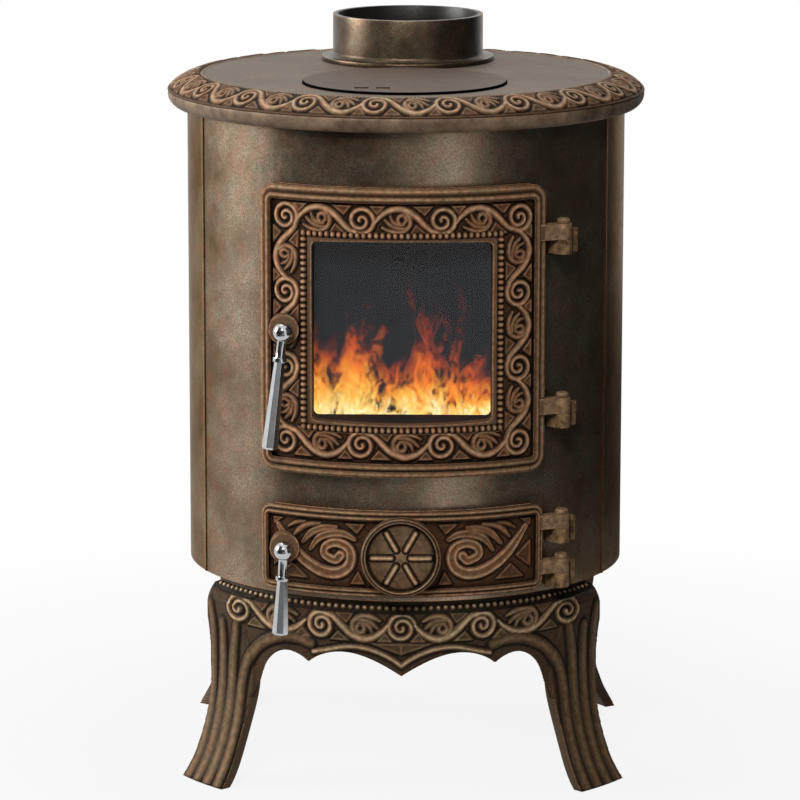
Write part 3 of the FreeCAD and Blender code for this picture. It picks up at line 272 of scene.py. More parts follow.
def skin(name, body, material, front, back, rub_and_painted_light, keep=None):
    """A thin closed skin cast on a surface: front and back are grids of points in mm, keep picks cells."""
    rows, cols = rub_and_painted_light.shape
    count = rows * cols
    number = np.arange(count).reshape(rows, cols)
    corners = (number[:-1, :-1], number[:-1, 1:], number[1:, 1:], number[1:, :-1])
    face = np.column_stack([c.ravel() if keep is None else c[keep] for c in corners])
    sides = np.vstack([face[:, [i, (i + 1) % 4]] for i in range(4)])
    lone = sides[~np.isin(sides[:, 0] * count + sides[:, 1], sides[:, 1] * count + sides[:, 0])]
    walls = np.column_stack([lone[:, 1], lone[:, 0], lone[:, 0] + count, lone[:, 1] + count])
    faces = np.vstack([face, face[:, ::-1] + count, walls])
    points = np.vstack([front.reshape(-1, 3), back.reshape(-1, 3)]) / 1000.0
    used, faces = np.unique(faces, return_inverse=True)
    piece = new_piece(name, points[used].tolist(), faces.reshape(-1, 4).tolist(), material,
                      relief=np.tile(rub_and_painted_light.ravel(), 2)[used].astype(np.float32))
    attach(piece, body)


def on_cylinder(radius, arc, z, face_radius):
    """Points at a radius for arc lengths that are measured on face_radius."""
    turn = arc / face_radius
    return np.stack([radius * np.sin(turn), -radius * np.cos(turn), z + 0 * turn], axis=-1)


def pearls(name, body, material, spots, outs, sizes):
    """A row of cast beads: half-round knobs, each with its place, outward direction and half sizes in mm."""
    around, up, sunk = 12, 4, 0.6
    points, faces, rubs_and_painted_light = [], [], []
    for spot, out, (along, across, high) in zip(spots, outs, sizes):
        out = Vector(out).normalized()
        side = out.cross(Vector((0, 0, 1))).normalized()
        rise = side.cross(out)
        first = len(points)
        for j in range(up):
            lift = (j / up) * math.pi / 2
            ring = math.cos(lift)
            stand = high * math.sin(lift) - (sunk if j == 0 else 0)
            for i in range(around):
                a = 2 * math.pi * i / around
                aside = side * (along * ring * math.cos(a)) + rise * (across * ring * math.sin(a))
                points.append((Vector(spot) + aside + out * stand) / 1000)
                # Each bead is rubbed lighter towards its top, with a painted highlight there and painted
                # shade at its foot.
                rubs_and_painted_light.append(0.35 + 0.65 * math.sin(lift))
        points.append((Vector(spot) + out * high) / 1000)
        rubs_and_painted_light.append(1.0)
        for i in range(around):
            n = (i + 1) % around
            for low in range(first, first + (up - 1) * around, around):
                faces.append((low + i, low + n, low + around + n, low + around + i))
            last = first + (up - 1) * around
            faces.append((last + i, last + n, len(points) - 1))
        faces.append(tuple(range(first + around - 1, first - 1, -1)))
    piece = new_piece(name, points, faces, material, relief=rubs_and_painted_light)
    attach(piece, body)


legs_bronze = bronzed_iron("bronzed_cast_iron_legs", ("#2a1f16", "#463728"), "#6f5d46", "#8a6648")
# The ramp runs from painted shade at the foot of the relief through brown ground to rubbed crests with a
# painted highlight.
legs_relief = bronzed_iron("bronze_legs_with_rubbing_and_painted_light", ("#2a1e15", "#4a3a2a"), "#7c6a50",
                           relief=[(0.0, "#0d0704"), (0.12, "#1a100a"), (0.32, "#44362a"), (0.65, "#594836"),
                                   (0.88, "#7f6b54"), (1.0, "#c6ad90")])
dress(legs_bronze, "front_leg_frame", "rear_leg_frame", bevel=0.0012)

# The relief skins lie a hair over the castings and are let into them. This one follows the casting's front
# face, which is felt out from far outside, and leaves out its openings, edges and inside faces.
hair, let_in = 0.12, 0.8
apron_r = -box_mm("front_leg_frame")[0][1]
inside_r, edge_jump, widest_lift = 200.0, 9.0, 3.0
far_m, feeler_m = 0.4, 0.215
turns = np.radians(np.linspace(-66, 66, 462))
heights = np.arange(1.5, 187.0, 1.0)
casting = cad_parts["front_leg_frame"].data
surface = BVHTree.FromPolygons([v.co for v in casting.vertices], [p.vertices for p in casting.polygons])
arc, rise = np.meshgrid(turns * apron_r, heights)
reach = np.full(arc.shape, np.nan)
for i in range(arc.shape[0]):
    for j in range(arc.shape[1]):
        ahead = Vector((math.sin(turns[j]), -math.cos(turns[j]), 0))
        hit = surface.ray_cast(ahead * far_m + Vector((0, 0, heights[i] / 1000)), -ahead, feeler_m)[0]
        if hit is not None:
            reach[i, j] = hit.xy.length * 1000
held = ~np.isnan(reach) & (reach > inside_r)
solid = held[:-1, :-1] & held[:-1, 1:] & held[1:, 1:] & held[1:, :-1]
jump_up, jump_along = (np.nan_to_num(np.abs(np.diff(reach, axis=axis))) for axis in (0, 1))
solid &= jump_up[:, :-1] + jump_along[:-1] < edge_jump
base_reach = np.nan_to_num(reach, nan=apron_r)
over, blend = base_reach, base_reach
for axis in (0, 1):
    over = np.maximum(over, np.maximum(np.roll(over, 1, axis), np.roll(over, -1, axis)))
    blend = sum(np.roll(blend, step, axis) for step in range(-7, 8)) / 15
over = np.minimum(np.maximum(over, blend), base_reach + widest_lift)

# Two waves of vine run out from the middle of the apron to each side, and four ribs run down each leg.
band_z, vine_lift, rib_lift = 166.5, 2.0, 2.4
inner_wave, outer_wave, climb = 77.5, 97.5, 1.5 / 97
outer_rib, inner_rib = 7.3, 6.6
vines, ribs = np.zeros(arc.shape), np.zeros(arc.shape)
field, leg_field = (arc, rise, vines), (arc, rise, ribs)
for side in (-1, 1):
    def on_leg(points):
        return [(side * math.radians(a) * apron_r, z) for a, z in points]
    vine_wave(field, lambda s, t: (side * s, band_z - t), inner_wave, vine_lift, stout=1.25)
    vine_wave(field, lambda s, t: (side * (s + inner_wave), band_z - t + climb * s), outer_wave, vine_lift,
              curl=1.3, stout=1.25)
    for half, line in ((outer_rib, [(61.2, 164), (60.0, 152), (59.4, 138), (59.2, 120), (58.6, 100),
                                    (57.6, 78), (56.2, 52), (55.0, 25), (55.6, 2)]),
                       (outer_rib, [(54.9, 150), (54.6, 140), (54.5, 124), (54.2, 105), (53.5, 80),
                                    (52.4, 52), (51.6, 25), (52.0, 2)]),
                       (outer_rib, [(48.6, 152), (49.2, 140), (49.8, 126), (50.0, 108), (49.5, 80),
                                    (48.7, 52), (48.2, 25), (48.4, 2)]),
                       (inner_rib, [(24.2, 147), (28, 151), (33.4, 149.6), (39.4, 140), (43.2, 126),
                                    (45.2, 112), (45.9, 95), (45.7, 75), (45.1, 50), (44.8, 25), (45.0, 2)])):
        rib_widths = [half * 0.8, half, half, half * 0.85]
        strand(leg_field, smooth(on_leg(line)), rib_widths, rib_lift, fullness=0.3)
    scallop = [(0, 130), (2.7, 137), (7.8, 145), (13.7, 147.4), (20, 142.4), (23.4, 139.4)]
    strand(field, smooth(on_leg(scallop)), [3.0], vine_lift)
    wedge(field, on_leg([(-0.3, 139.6), (-0.3, 152), (9, 152)]), 1.6)
roll = np.arange(-170, 561, 15)
radius = np.interp(roll, [-170, 0, 180, 270, 360, 450, 560], [13.6, 11.8, 9.3, 7.0, 5.0, 3.4, 1.2])
middle_curl = [-radius * np.cos(np.radians(roll)), band_z + 0.3 - radius * np.sin(np.radians(roll))]
strand(field, np.column_stack(middle_curl), [2.0, 3.0, 2.9, 2.6, 2.2, 2.4], vine_lift)
relief = np.maximum(vines, ribs)

# The ground of the row of beads at the top edge is painted dark, as the shade that falls round them.
bead_ground_z, leg_bead_r, leg_bead_z, leg_bead = 180.0, 206.4, 185.0, (3.1, 3.1, 3.1)
# The rib crests are rubbed bright and carry a painted highlight; the vine takes its rub and painted light
# from its height.
rub_and_painted_light = np.where(ribs > vines, 0.82 * (ribs / rib_lift) ** 3, rubbed_and_painted_light(relief, vine_lift))
rub_and_painted_light = np.where(rise > bead_ground_z, 0.02, rub_and_painted_light)
bead_turns = np.radians(np.linspace(-57.5, 57.5, 61))
for end, hand in (("front", 1), ("rear", -1)):
    front, back = (on_cylinder(reached, arc, rise, apron_r) * (hand, hand, 1)
                   for reached in (over + hair + relief, base_reach - let_in))
    skin(end + "_leg_relief", "stove", legs_relief, front, back, rub_and_painted_light, solid)
for end, hand in (("front", 1), ("rear", -1)):
    places = [(hand * leg_bead_r * math.sin(a), -hand * leg_bead_r * math.cos(a), leg_bead_z)
              for a in bead_turns]
    outs = [(hand * math.sin(a), -hand * math.cos(a), 0.6) for a in bead_turns]
    pearls(end + "_leg_beads", "stove", legs_relief, places, outs, [leg_bead] * len(places))


# Base plate and fasteners: a turned iron plate between legs and body, painted matt black, and steel hexagon
# bolts and nuts that clamp castings, panels and collar together from inside. These are zinc plated, like the
# glass clips, the draft stud and the latches, and those of the panels are scaled by the heat.

def painted_iron(name, dark, light, shine):
    """Matt stove paint on cast iron or sheet: an even black with a slight grain."""
    made, tree, shader = new_material(name)
    colour = mottled(tree, 12, 4.0, 0.6, [(0.0, dark), (1.0, light)])
    # The paint's own grain is finer than 0.3 mm, so it is drawn 1.6 mm coarse to show.
    grain = add(tree, "Bump", {"Height": mottled(tree, 1.6, 2.0, 0.6), "Strength": 0.3, "Distance": 0.0006})
    fit(tree, shader, {"Base Color": colour, "Roughness": shine, "Normal": grain})
    return made


def bare_steel(name, light, dark, rough, grain_mm):
    """Plain rolled or turned steel: grey metal with fine marks that are duller than the rest."""
    made, tree, shader = new_material(name)
    marks = mottled(tree, grain_mm, 4.0, 0.65)
    colour = add(tree, "ValToRGB", {"Fac": marks}, stops=[(0.0, light), (1.0, dark)])
    uneven = add(tree, "MapRange", {"Value": marks, "To Min": rough - 0.08, "To Max": rough + 0.1})
    fit(tree, shader, {"Base Color": colour, "Metallic": 1.0, "Roughness": uneven})
    return made


stove_black = painted_iron("matt_black_cast_iron", "#1a1917", "#262522", 0.72)
zinc_steel = bare_steel("zinc_plated_steel", "#8f8d88", "#716f6b", 0.38, 1.2)
dress(stove_black, "base_plate")
dress(zinc_steel, "base_bolts", "base_nuts", "top_plate_bolts", "flue_collar_bolts",
      "glass_clips", "glass_clip_screws", "draft_stud", "draft_stop_nut", "fire_door_latch_spacer",
      "fire_door_latch_tongue", "fire_door_latch_nut", "ash_door_latch_spacer", "ash_door_latch_tongue",
      "ash_door_latch_nut")
dress(bare_steel("heat_scaled_steel", "#24211e", "#1a1816", 0.65, 1.2), "panel_bolts", "panel_nuts")


# Body: three curved iron panels bolted together at upright seams, sand-cast and smooth outside. The spray
# leaves champagne clouds and fine specks over a dark brown ground. Thin lines of rubbed copper run along the
# seams, brightest along their crest, where a highlight is painted.

def patch(made, where, colour):
    """Covers a finish with another colour where a mask is 1."""
    tree, shader = made.node_tree, made.node_tree.nodes["Principled BSDF"]
    under = shader.inputs["Base Color"].links[0].from_socket
    fit(tree, shader, {"Base Color": add(tree, "MixRGB", {"Fac": where, "Color1": under, "Color2": colour})})


def soot_inside(made, reach_mm, behind_mm=0.0):
    """Blackens with soot all of a casting that is nearer than reach_mm to an upright axis.

    The axis stands behind_mm behind the stove's own. Gives each point's distance from it in metres.
    """
    tree, shader = made.node_tree, made.node_tree.nodes["Principled BSDF"]
    place = add(tree, "TexCoord", {}, "Object")
    level = add(tree, "VectorMath", {0: place, 1: (1, 1, 0), 2: (0, -behind_mm / 1000, 0)},
                operation="MULTIPLY_ADD")
    from_axis = add(tree, "VectorMath", {0: level}, "Value", operation="LENGTH")
    inside = add(tree, "Math", {0: from_axis, 1: reach_mm / 1000}, operation="LESS_THAN")
    patch(made, inside, mottled(tree, 25, 4.0, 0.6, [(0.0, "#0b0a09"), (1.0, "#1d1a17")]))
    metal = shader.inputs["Metallic"].default_value
    fit(tree, shader, {"Metallic": add(tree, "MapRange", {"Value": inside, "To Min": metal, "To Max": 0.0})})
    return from_axis


(_, body_front, body_low), (_, _, body_high) = box_mm("front_panel")
body_r = -body_front
body_metal, lug_metal = 0.95, 0.2
body_bronze = bronzed_iron("bronzed_cast_iron_body", ("#554638", "#7e6f60"), "#d0c5b7", "#b8825c",
                           dusting=0.8, cloud_mm=60, metal=body_metal, shine=0.31)
from_axis = soot_inside(body_bronze, body_r - 1.5)

# The hinge lugs, which stand out from the round of the body, are rubbed browner.
tree, shader = body_bronze.node_tree, body_bronze.node_tree.nodes["Principled BSDF"]
lug = add(tree, "Math", {0: from_axis, 1: (body_r + 2.0) / 1000}, operation="GREATER_THAN")
patch(body_bronze, lug, mottled(tree, 6, 4.0, 0.6, [(0.34, "#402f20"), (0.66, "#8a6c4e")]))
metal = add(tree, "MapRange", {"Value": lug, "To Min": body_metal, "To Max": lug_metal})
clean = shader.inputs["Metallic"].links[0].from_socket
fit(tree, shader, {"Metallic": add(tree, "Math", {0: metal, 1: clean}, operation="MINIMUM"),
                   "Specular Tint": linear("#b5a89d")})
dress(body_bronze, "front_panel", "left_panel", "right_panel")

seam_turn, seam_half, seam_round, seam_end = 65.0, 1.8, 1.9, 4.0
seam_foot, seam_lift, seam_let_in = 0.1, 0.7, 0.6
# The seam strips go from painted shade at their sides to rubbed copper with a painted highlight on the crest.
seam_copper = bronzed_iron("copper_seams_with_rubbing_and_painted_light", ("#4a2e1e", "#6b4630"), "#8a6244",
                           relief=[(0.0, "#2a1810"), (0.5, "#b07a5c"), (1.0, "#e6b090")],
                           metal=0.9, shine=0.3)
for name, turn in (("seam_left", -seam_turn), ("seam_right", seam_turn)):
    middle = math.radians(turn) * body_r
    arc, rise = np.meshgrid(middle + np.linspace(-seam_half, seam_half, 9),
                            np.linspace(body_low + seam_end, body_high - seam_end, 90))
    swell = np.sqrt(np.clip(1 - ((arc - middle) / seam_round) ** 2, 0, None))
    skin(name, "stove", seam_copper, on_cylinder(body_r + seam_foot + seam_lift * swell, arc, rise, body_r),
         on_cylinder(body_r - seam_let_in, arc, rise, body_r), swell)


# Fire chamber: hearth plate, slotted grate, log guard and baffle are rough black castings, laid in loose; six
# rear firebricks are pressed and fired clay; the ash pan is folded sheet steel with a bail of bent wire.

def fired_clay(name):
    """Pressed and fired brick: dull buff clay with specks of grog, almost hidden by soot."""
    made, tree, shader = new_material(name)
    soot = mottled(tree, 60, 4.0, 0.6, [(0.3, "#1c1916"), (0.6, "#141210")])
    clay = mottled(tree, 30, 4.0, 0.6, [(0.0, "#8d7458"), (1.0, "#5b4a3a")])
    grog = mottled(tree, 3, 2.0, 0.5, [(0.55, "#000000"), (0.68, "#505050")])
    colour = add(tree, "MixRGB", {"Fac": 0.93, "Color1": clay, "Color2": soot})
    colour = add(tree, "MixRGB", {"Fac": grog, "Color1": colour, "Color2": linear("#2a251f")})
    pits = add(tree, "Bump", {"Height": mottled(tree, 4.0, 3.0, 0.5), "Strength": 0.2, "Distance": 0.001})
    fit(tree, shader, {"Base Color": colour, "Roughness": 0.92, "Normal": pits})
    return made


dress(stove_black, "hearth_plate", "fire_grate", "log_guard", "baffle_plate")
dress(fired_clay("firebrick"), *["lining_brick_%d" % i for i in range(1, 7)])
dress(painted_iron("black_sheet_steel", "#1d1d1c", "#2a2a29", 0.5), "ash_pan", "ash_pan_bail")


# Top plate: one turned casting whose rounded rim carries the same vine in a ring; the flat is rubbed to a
# satin brown. The loose cooking lid lies in its seat, and the flue collar is bolted on behind it.

def tint_upright(made, dark, light, share, gloss):
    """Tints the upright faces of a plate, such as its edge, in blots of two colours, and sets their gloss."""
    tree, shader = made.node_tree, made.node_tree.nodes["Principled BSDF"]
    lean = add(tree, "SeparateXYZ", {0: add(tree, "NewGeometry", {}, "True Normal")}, "Z")
    steep = add(tree, "MapRange", {"Value": lean, "From Min": 0.97, "From Max": 0.9, "To Max": share})
    patch(made, steep, mottled(tree, 22, 6.0, 0.65, [(0.34, dark), (0.66, light)]))
    flat_gloss = shader.inputs["Specular IOR Level"].default_value
    sheen = add(tree, "MapRange", {"Value": steep, "To Min": flat_gloss, "To Max": gloss})
    fit(tree, shader, {"Specular IOR Level": sheen})


top_bronze = bronzed_iron("bronzed_cast_iron_top", ("#3d352f", "#60554c"), "#7d766f", "#8f6a4c", dusting=0.42,
                          cloud_mm=80)
tint_upright(top_bronze, "#4c3a2c", "#86705a", 0.85, 0.25)
dress(top_bronze, "top_plate", bevel=0.0006)
lid_bronze = bronzed_iron("bronzed_cast_iron_lid", ("#33271e", "#42352a"), "#5e5042", "#8f6a4c", dusting=0.3,
                          metal=0.1)
# The lid's upright edge is painted near black with no gloss: a painted shadow of the gap round the lid.
tint_upright(lid_bronze, "#030202", "#060504", 1.0, 0.0)
dress(lid_bronze, "cooking_lid", bevel=0.0003)
collar_bore_r, collar_behind = 71.5, 108.0
collar_bronze = bronzed_iron("bronzed_cast_iron_collar", ("#221a14", "#453a30"), "#8c7f6e", "#9c8468",
                             dusting=0.7, cloud_mm=26, metal=0.85, shine=0.36)
soot_inside(collar_bronze, collar_bore_r, collar_behind)
dress(collar_bronze, "flue_collar", bevel=0.0008)
# The ramp runs from painted shade round the foot of the vine through brown ground to rubbed crests with a
# painted highlight.
rim_relief = bronzed_iron("bronze_rim_with_rubbing_and_painted_light", ("#2a1e15", "#4d3c2c"), "#86735a",
                          relief=[(0.0, "#0b0603"), (0.12, "#160d08"), (0.32, "#2e2017"), (0.65, "#5c4635"),
                                  (0.88, "#826a55"), (1.0, "#b0967e")])

# The rim is an arc through three points of its section, and the ornament lies on its round.
inner_edge, crown, outer_edge = np.array([(198.0, 666.0), (215.95, 660.45), (229.5, 650.5)])
chords = np.array([crown - inner_edge, outer_edge - crown])
squares = [p @ p for p in (inner_edge, crown, outer_edge)]
centre = np.linalg.solve(chords, np.diff(squares) / 2)
bend = np.linalg.norm(crown - centre)
first_turn, last_turn = (math.atan2(*(p - centre)[::-1]) for p in (inner_edge, outer_edge))
spread = bend * (first_turn - last_turn)
rim_r, rim_lift, waves, wave_start = 216.0, 2.0, 20, 24.5
wave_length = 2 * math.pi * rim_r / waves
turns = np.linspace(-math.pi, math.pi, 1361)
across = np.linspace(0.02, 0.99, 33)
arc, way = np.meshgrid(turns * rim_r, (across - 0.5) * spread)
relief = np.zeros(arc.shape)
field = (arc, way, relief)
for wave in range(-waves // 2 - 1, waves // 2 + 3):
    vine_wave(field, lambda s, t: (wave * wave_length - wave_start - s, t * 1.05), wave_length, rim_lift,
              stout=1.15)

# A row of short teeth borders the vine at the flat of the plate, and a thin bead at the outer edge.
tooth_half, tooth_step, bead_half, half_round = 1.3, 3.9, 1.4, 678.0
for tooth in np.arange(-half_round, half_round + 1, tooth_step):
    strand(field, [(tooth, -spread / 2 + 1.0), (tooth, -spread / 2 + 3.0)], [tooth_half], tooth_half)
bead_way, bead_end = spread / 2 - bead_half, half_round + 22
strand(field, [(-bead_end, bead_way), (bead_end, bead_way)], [bead_half], bead_half)
slope = first_turn + (last_turn - first_turn) * across[:, None] + 0 * arc
front, back = (on_cylinder(centre[0] + (bend + lift) * np.cos(slope), arc,
                           centre[1] + (bend + lift) * np.sin(slope), rim_r)
               for lift in (hair + relief, -let_in))
skin("rim_relief", "stove", rim_relief, front, back, rubbed_and_painted_light(relief, rim_lift))


# Fire door: a curved casting with a stepped frame, a band of vine scroll and a row of beads round the window.
# A flat pane of dark heat-proof glass is clipped in from behind on a woven glass-fibre gasket.

face_r, frame_let_in = 219.3, 1.0


def rounded(half, low, high, corner):
    """Evenly spaced points round a rectangle with rounded corners, counter-clockwise."""
    spacing = 2.5
    points = []
    for x, z, first in ((half - corner, low + corner, -90), (half - corner, high - corner, 0),
                        (corner - half, high - corner, 90), (corner - half, low + corner, 180)):
        for a in np.radians(np.linspace(first, first + 90, 9)):
            points.append((x + corner * math.cos(a), z + corner * math.sin(a)))
    points = np.array(points + points[:1])
    run = np.concatenate([[0], np.cumsum(np.hypot(*np.diff(points, axis=0).T))])
    at = np.linspace(0, run[-1], int(run[-1] / spacing))
    return np.column_stack([np.interp(at, run, points[:, 0]), np.interp(at, run, points[:, 1])])


def moulding(name, body, material, outline, profile):
    """A cast frame: a profile of inset, lift and rub swept round an outline on the doors' curved face."""
    ahead = np.roll(outline[:-1], -1, axis=0) - np.roll(outline[:-1], 1, axis=0)
    inward = np.column_stack([-ahead[:, 1], ahead[:, 0]]) / np.hypot(*ahead.T)[:, None]
    inward = np.vstack([inward, inward[:1]])
    front, back, rubs_and_painted_light = [], [], []
    # The rub of each line of the profile also paints shade in grooves and at feet, and highlight on ridges.
    for inset, lift, rub_and_painted_light in profile:
        way = outline + inset * inward
        front.append(on_cylinder(face_r + lift, way[:, 0], way[:, 1], face_r))
        back.append(on_cylinder(face_r - frame_let_in, way[:, 0], way[:, 1], face_r))
        rubs_and_painted_light.append(np.full(len(outline), rub_and_painted_light))
    skin(name, body, material, np.array(front), np.array(back), np.array(rubs_and_painted_light))


def stepped_frame(outer, inner):
    """Profile of a low outer ridge and a higher inner one, each rounded over, for their two widths."""
    # The rub is lowest at the feet and between the ridges, as painted shade, and highest on the crests, as
    # rub and painted highlight.
    low = [(0.12, 2.6, 0.75), (0.36, 3.1, 1.0), (0.62, 2.9, 0.8), (0.82, 2.4, 0.5), (0.96, 2.2, 0.2)]
    high = [(0.0, 4.2, 0.35), (0.2, 4.9, 0.8), (0.46, 5.3, 1.0), (0.72, 5.0, 0.7), (0.95, 4.4, 0.4)]
    return ([(-0.25, -0.9, 0.0), (-0.2, 1.4, 0.3)]
            + [(outer * share, lift, rub_and_painted_light) for share, lift, rub_and_painted_light in low]
            + [(outer - 0.15 + inner * share, lift, rub_and_painted_light) for share, lift, rub_and_painted_light in high]
            + [(outer + inner + 0.25, 3.2, 0.2), (outer + inner + 0.3, hair, 0.0)])


def door_skin(name, body, arc, rise, relief, top, keep=None):
    """The ornament of a door's curved panel."""
    skin(name, body, door_relief, on_cylinder(face_r + hair + relief, arc, rise, face_r),
         on_cylinder(face_r - let_in, arc, rise, face_r), rubbed_and_painted_light(relief, top), keep)


door_bronze = bronzed_iron("bronzed_cast_iron_doors", ("#3d2c1f", "#5c4533"), "#8e7258", "#c09676",
                           cloud_mm=30)
soot_inside(door_bronze, body_r + 1.5)

# The hinge straps, which are the doors' right ends, are rubbed to a browner tone.
strap_x = 132.5
tree = door_bronze.node_tree
aside = add(tree, "SeparateXYZ", {0: add(tree, "TexCoord", {}, "Object")}, "X")
strap = add(tree, "Math", {0: aside, 1: strap_x / 1000}, operation="GREATER_THAN")
patch(door_bronze, strap, mottled(tree, 5, 4.0, 0.6, [(0.32, "#543f2c"), (0.68, "#8c6f52")]))
dress(door_bronze, "fire_door", "ash_door", "draft_disc", "fire_door_hinge_pins", "ash_door_hinge_pins",
      bevel=0.0008)
# These ramps run from painted shade at the feet through brown to rubbed crests with a painted highlight.
door_relief = bronzed_iron("bronze_doors_with_rubbing_and_painted_light", ("#2a1c12", "#4a3626"), "#86694c",
                           relief=[(0.0, "#0b0503"), (0.12, "#1b0f09"), (0.3, "#452f20"), (0.65, "#684b36"),
                                   (0.88, "#8e6c53"), (1.0, "#c4a185")])
frame_relief = bronzed_iron("bronze_door_frames_with_rubbing_and_painted_light", ("#2a1c12", "#4a3626"), "#86694c",
                            relief=[(0.0, "#120a06"), (0.2, "#24170e"), (0.5, "#513d2d"), (0.8, "#775d46"),
                                    (1.0, "#ae9075")])

# The frame is laid round the door's edge and the vine in a band inside it, three waves to a side.
lap = 0.3
fire_half, fire_corner, fire_ridges = 141.6, 16.0, (7.5, 6.0)
(_, _, fire_low), (_, _, fire_high) = box_mm("fire_door")
fire_inset = sum(fire_ridges) - lap
moulding("fire_door_frame", "fire_door", frame_relief, rounded(fire_half, fire_low, fire_high, fire_corner),
         stepped_frame(*fire_ridges))
arc, rise = np.meshgrid(np.linspace(fire_inset - fire_half, fire_half - fire_inset, 322),
                        np.linspace(fire_low + fire_inset, fire_high - fire_inset, 308))
relief = np.zeros(arc.shape)
field = (arc, rise, relief)
vine_half, vine_low, vine_high, waves = 113.0, 343.6, 555.4, 3
across, upright = 2 * vine_half / waves, (vine_high - vine_low) / waves
for place, length in ((lambda s, t: (s - vine_half, vine_high + t), across),
                      (lambda s, t: (vine_half + t, vine_high - s), upright),
                      (lambda s, t: (vine_half - s, vine_low - t), across),
                      (lambda s, t: (-vine_half - t, vine_low + s), upright)):
    for wave in range(waves):
        vine_wave(field, lambda s, t: place(s + wave * length, t), length)
window_half, window_low, window_high = 96.6, 355.5, 543.0
mid_arc, mid_rise = (arc[:-1, :-1] + arc[1:, 1:]) / 2, (rise[:-1, :-1] + rise[1:, 1:]) / 2
window = (np.abs(mid_arc) < window_half) & (mid_rise > window_low) & (mid_rise < window_high)
door_skin("fire_door_relief", "fire_door", arc, rise, relief, top=2.2, keep=~window)

# A sunk channel with a row of long beads borders the window.
bead_r, bead_arc, bead_low, bead_high, beads = 220.9, 94.0, 358.4, 541.2, 33
bead_long, bead_wide, bead_proud = 3.5, 2.7, 3.0
channel_half, channel_low, channel_high, channel_corner = 96.9, 354.8, 544.8, 2.5
moulding("fire_door_bead_channel", "fire_door", door_relief,
         rounded(channel_half, channel_low, channel_high, channel_corner),
         [(0.0, 1.5, 0.3), (0.3, 1.8, 0.3), (0.6, 1.72, 0.0), (6.6, 1.72, 0.0), (6.9, 1.8, 0.3),
          (7.2, 1.5, 0.3)])
level_rows = [(u, z) for z in (bead_low, bead_high) for u in np.linspace(-bead_arc, bead_arc, beads)]
upright_rows = [(u, z) for u in (-bead_arc, bead_arc)
                for z in np.linspace(bead_low, bead_high, beads)[1:-1]]
places = [on_cylinder(bead_r, u, z, bead_r) for u, z in level_rows + upright_rows]
outs = [(math.sin(u / bead_r), -math.cos(u / bead_r), 0) for u, z in level_rows + upright_rows]
sizes = ([(bead_wide, bead_long, bead_proud)] * len(level_rows)
         + [(bead_long, bead_wide, bead_proud)] * len(upright_rows))
pearls("fire_door_beads", "fire_door", door_relief, places, outs, sizes)


def stove_glass(name):
    """Glass ceramic, rolled and polished: smoke tinted, mirror smooth, with a faint haze of soot inside."""
    made, tree, shader = new_material(name)
    haze = mottled(tree, 60, 3.0, 0.5, [(0.3, "#272b31"), (0.75, "#2d3239")])
    fit(tree, shader, {"Base Color": haze, "Roughness": 0.05, "IOR": 1.5, "Specular IOR Level": 0.72,
                       "Alpha": 0.25})
    return made


def woven_rope(name, light, dark, stitch_mm):
    """Knitted glass-fibre rope: dull grey, with slanting rows of stitches."""
    made, tree, shader = new_material(name)
    place = add(tree, "TexCoord", {}, "Object")
    # A diagonal wave of scale 1 repeats every 0.2 pi / sqrt(3) metres.
    scale = 200.0 * math.pi / math.sqrt(3.0) / stitch_mm
    knit = add(tree, "TexWave", {"Vector": place, "Scale": scale, "Distortion": 2.0, "Detail": 2.0}, "Fac",
               bands_direction="DIAGONAL")
    colour = add(tree, "ValToRGB", {"Fac": knit}, stops=[(0.0, light), (1.0, dark)])
    loops = add(tree, "Bump", {"Height": knit, "Strength": 0.6, "Distance": 0.0008})
    fit(tree, shader, {"Base Color": colour, "Roughness": 0.95, "Normal": loops})
    return made


dress(stove_glass("smoked_stove_glass"), "door_glass")
dress(woven_rope("glass_fibre_rope", "#3b3a38", "#262624", stitch_mm=2.267), "fire_door_seal",
      "ash_door_seal", "glass_gasket")


# Ash door: a low curved casting with the same stepped frame and a leafy C-scroll on each side of the round
# draft disc. The disc is cast too, with two raised rings and six finger ribs, and screws along a stud.

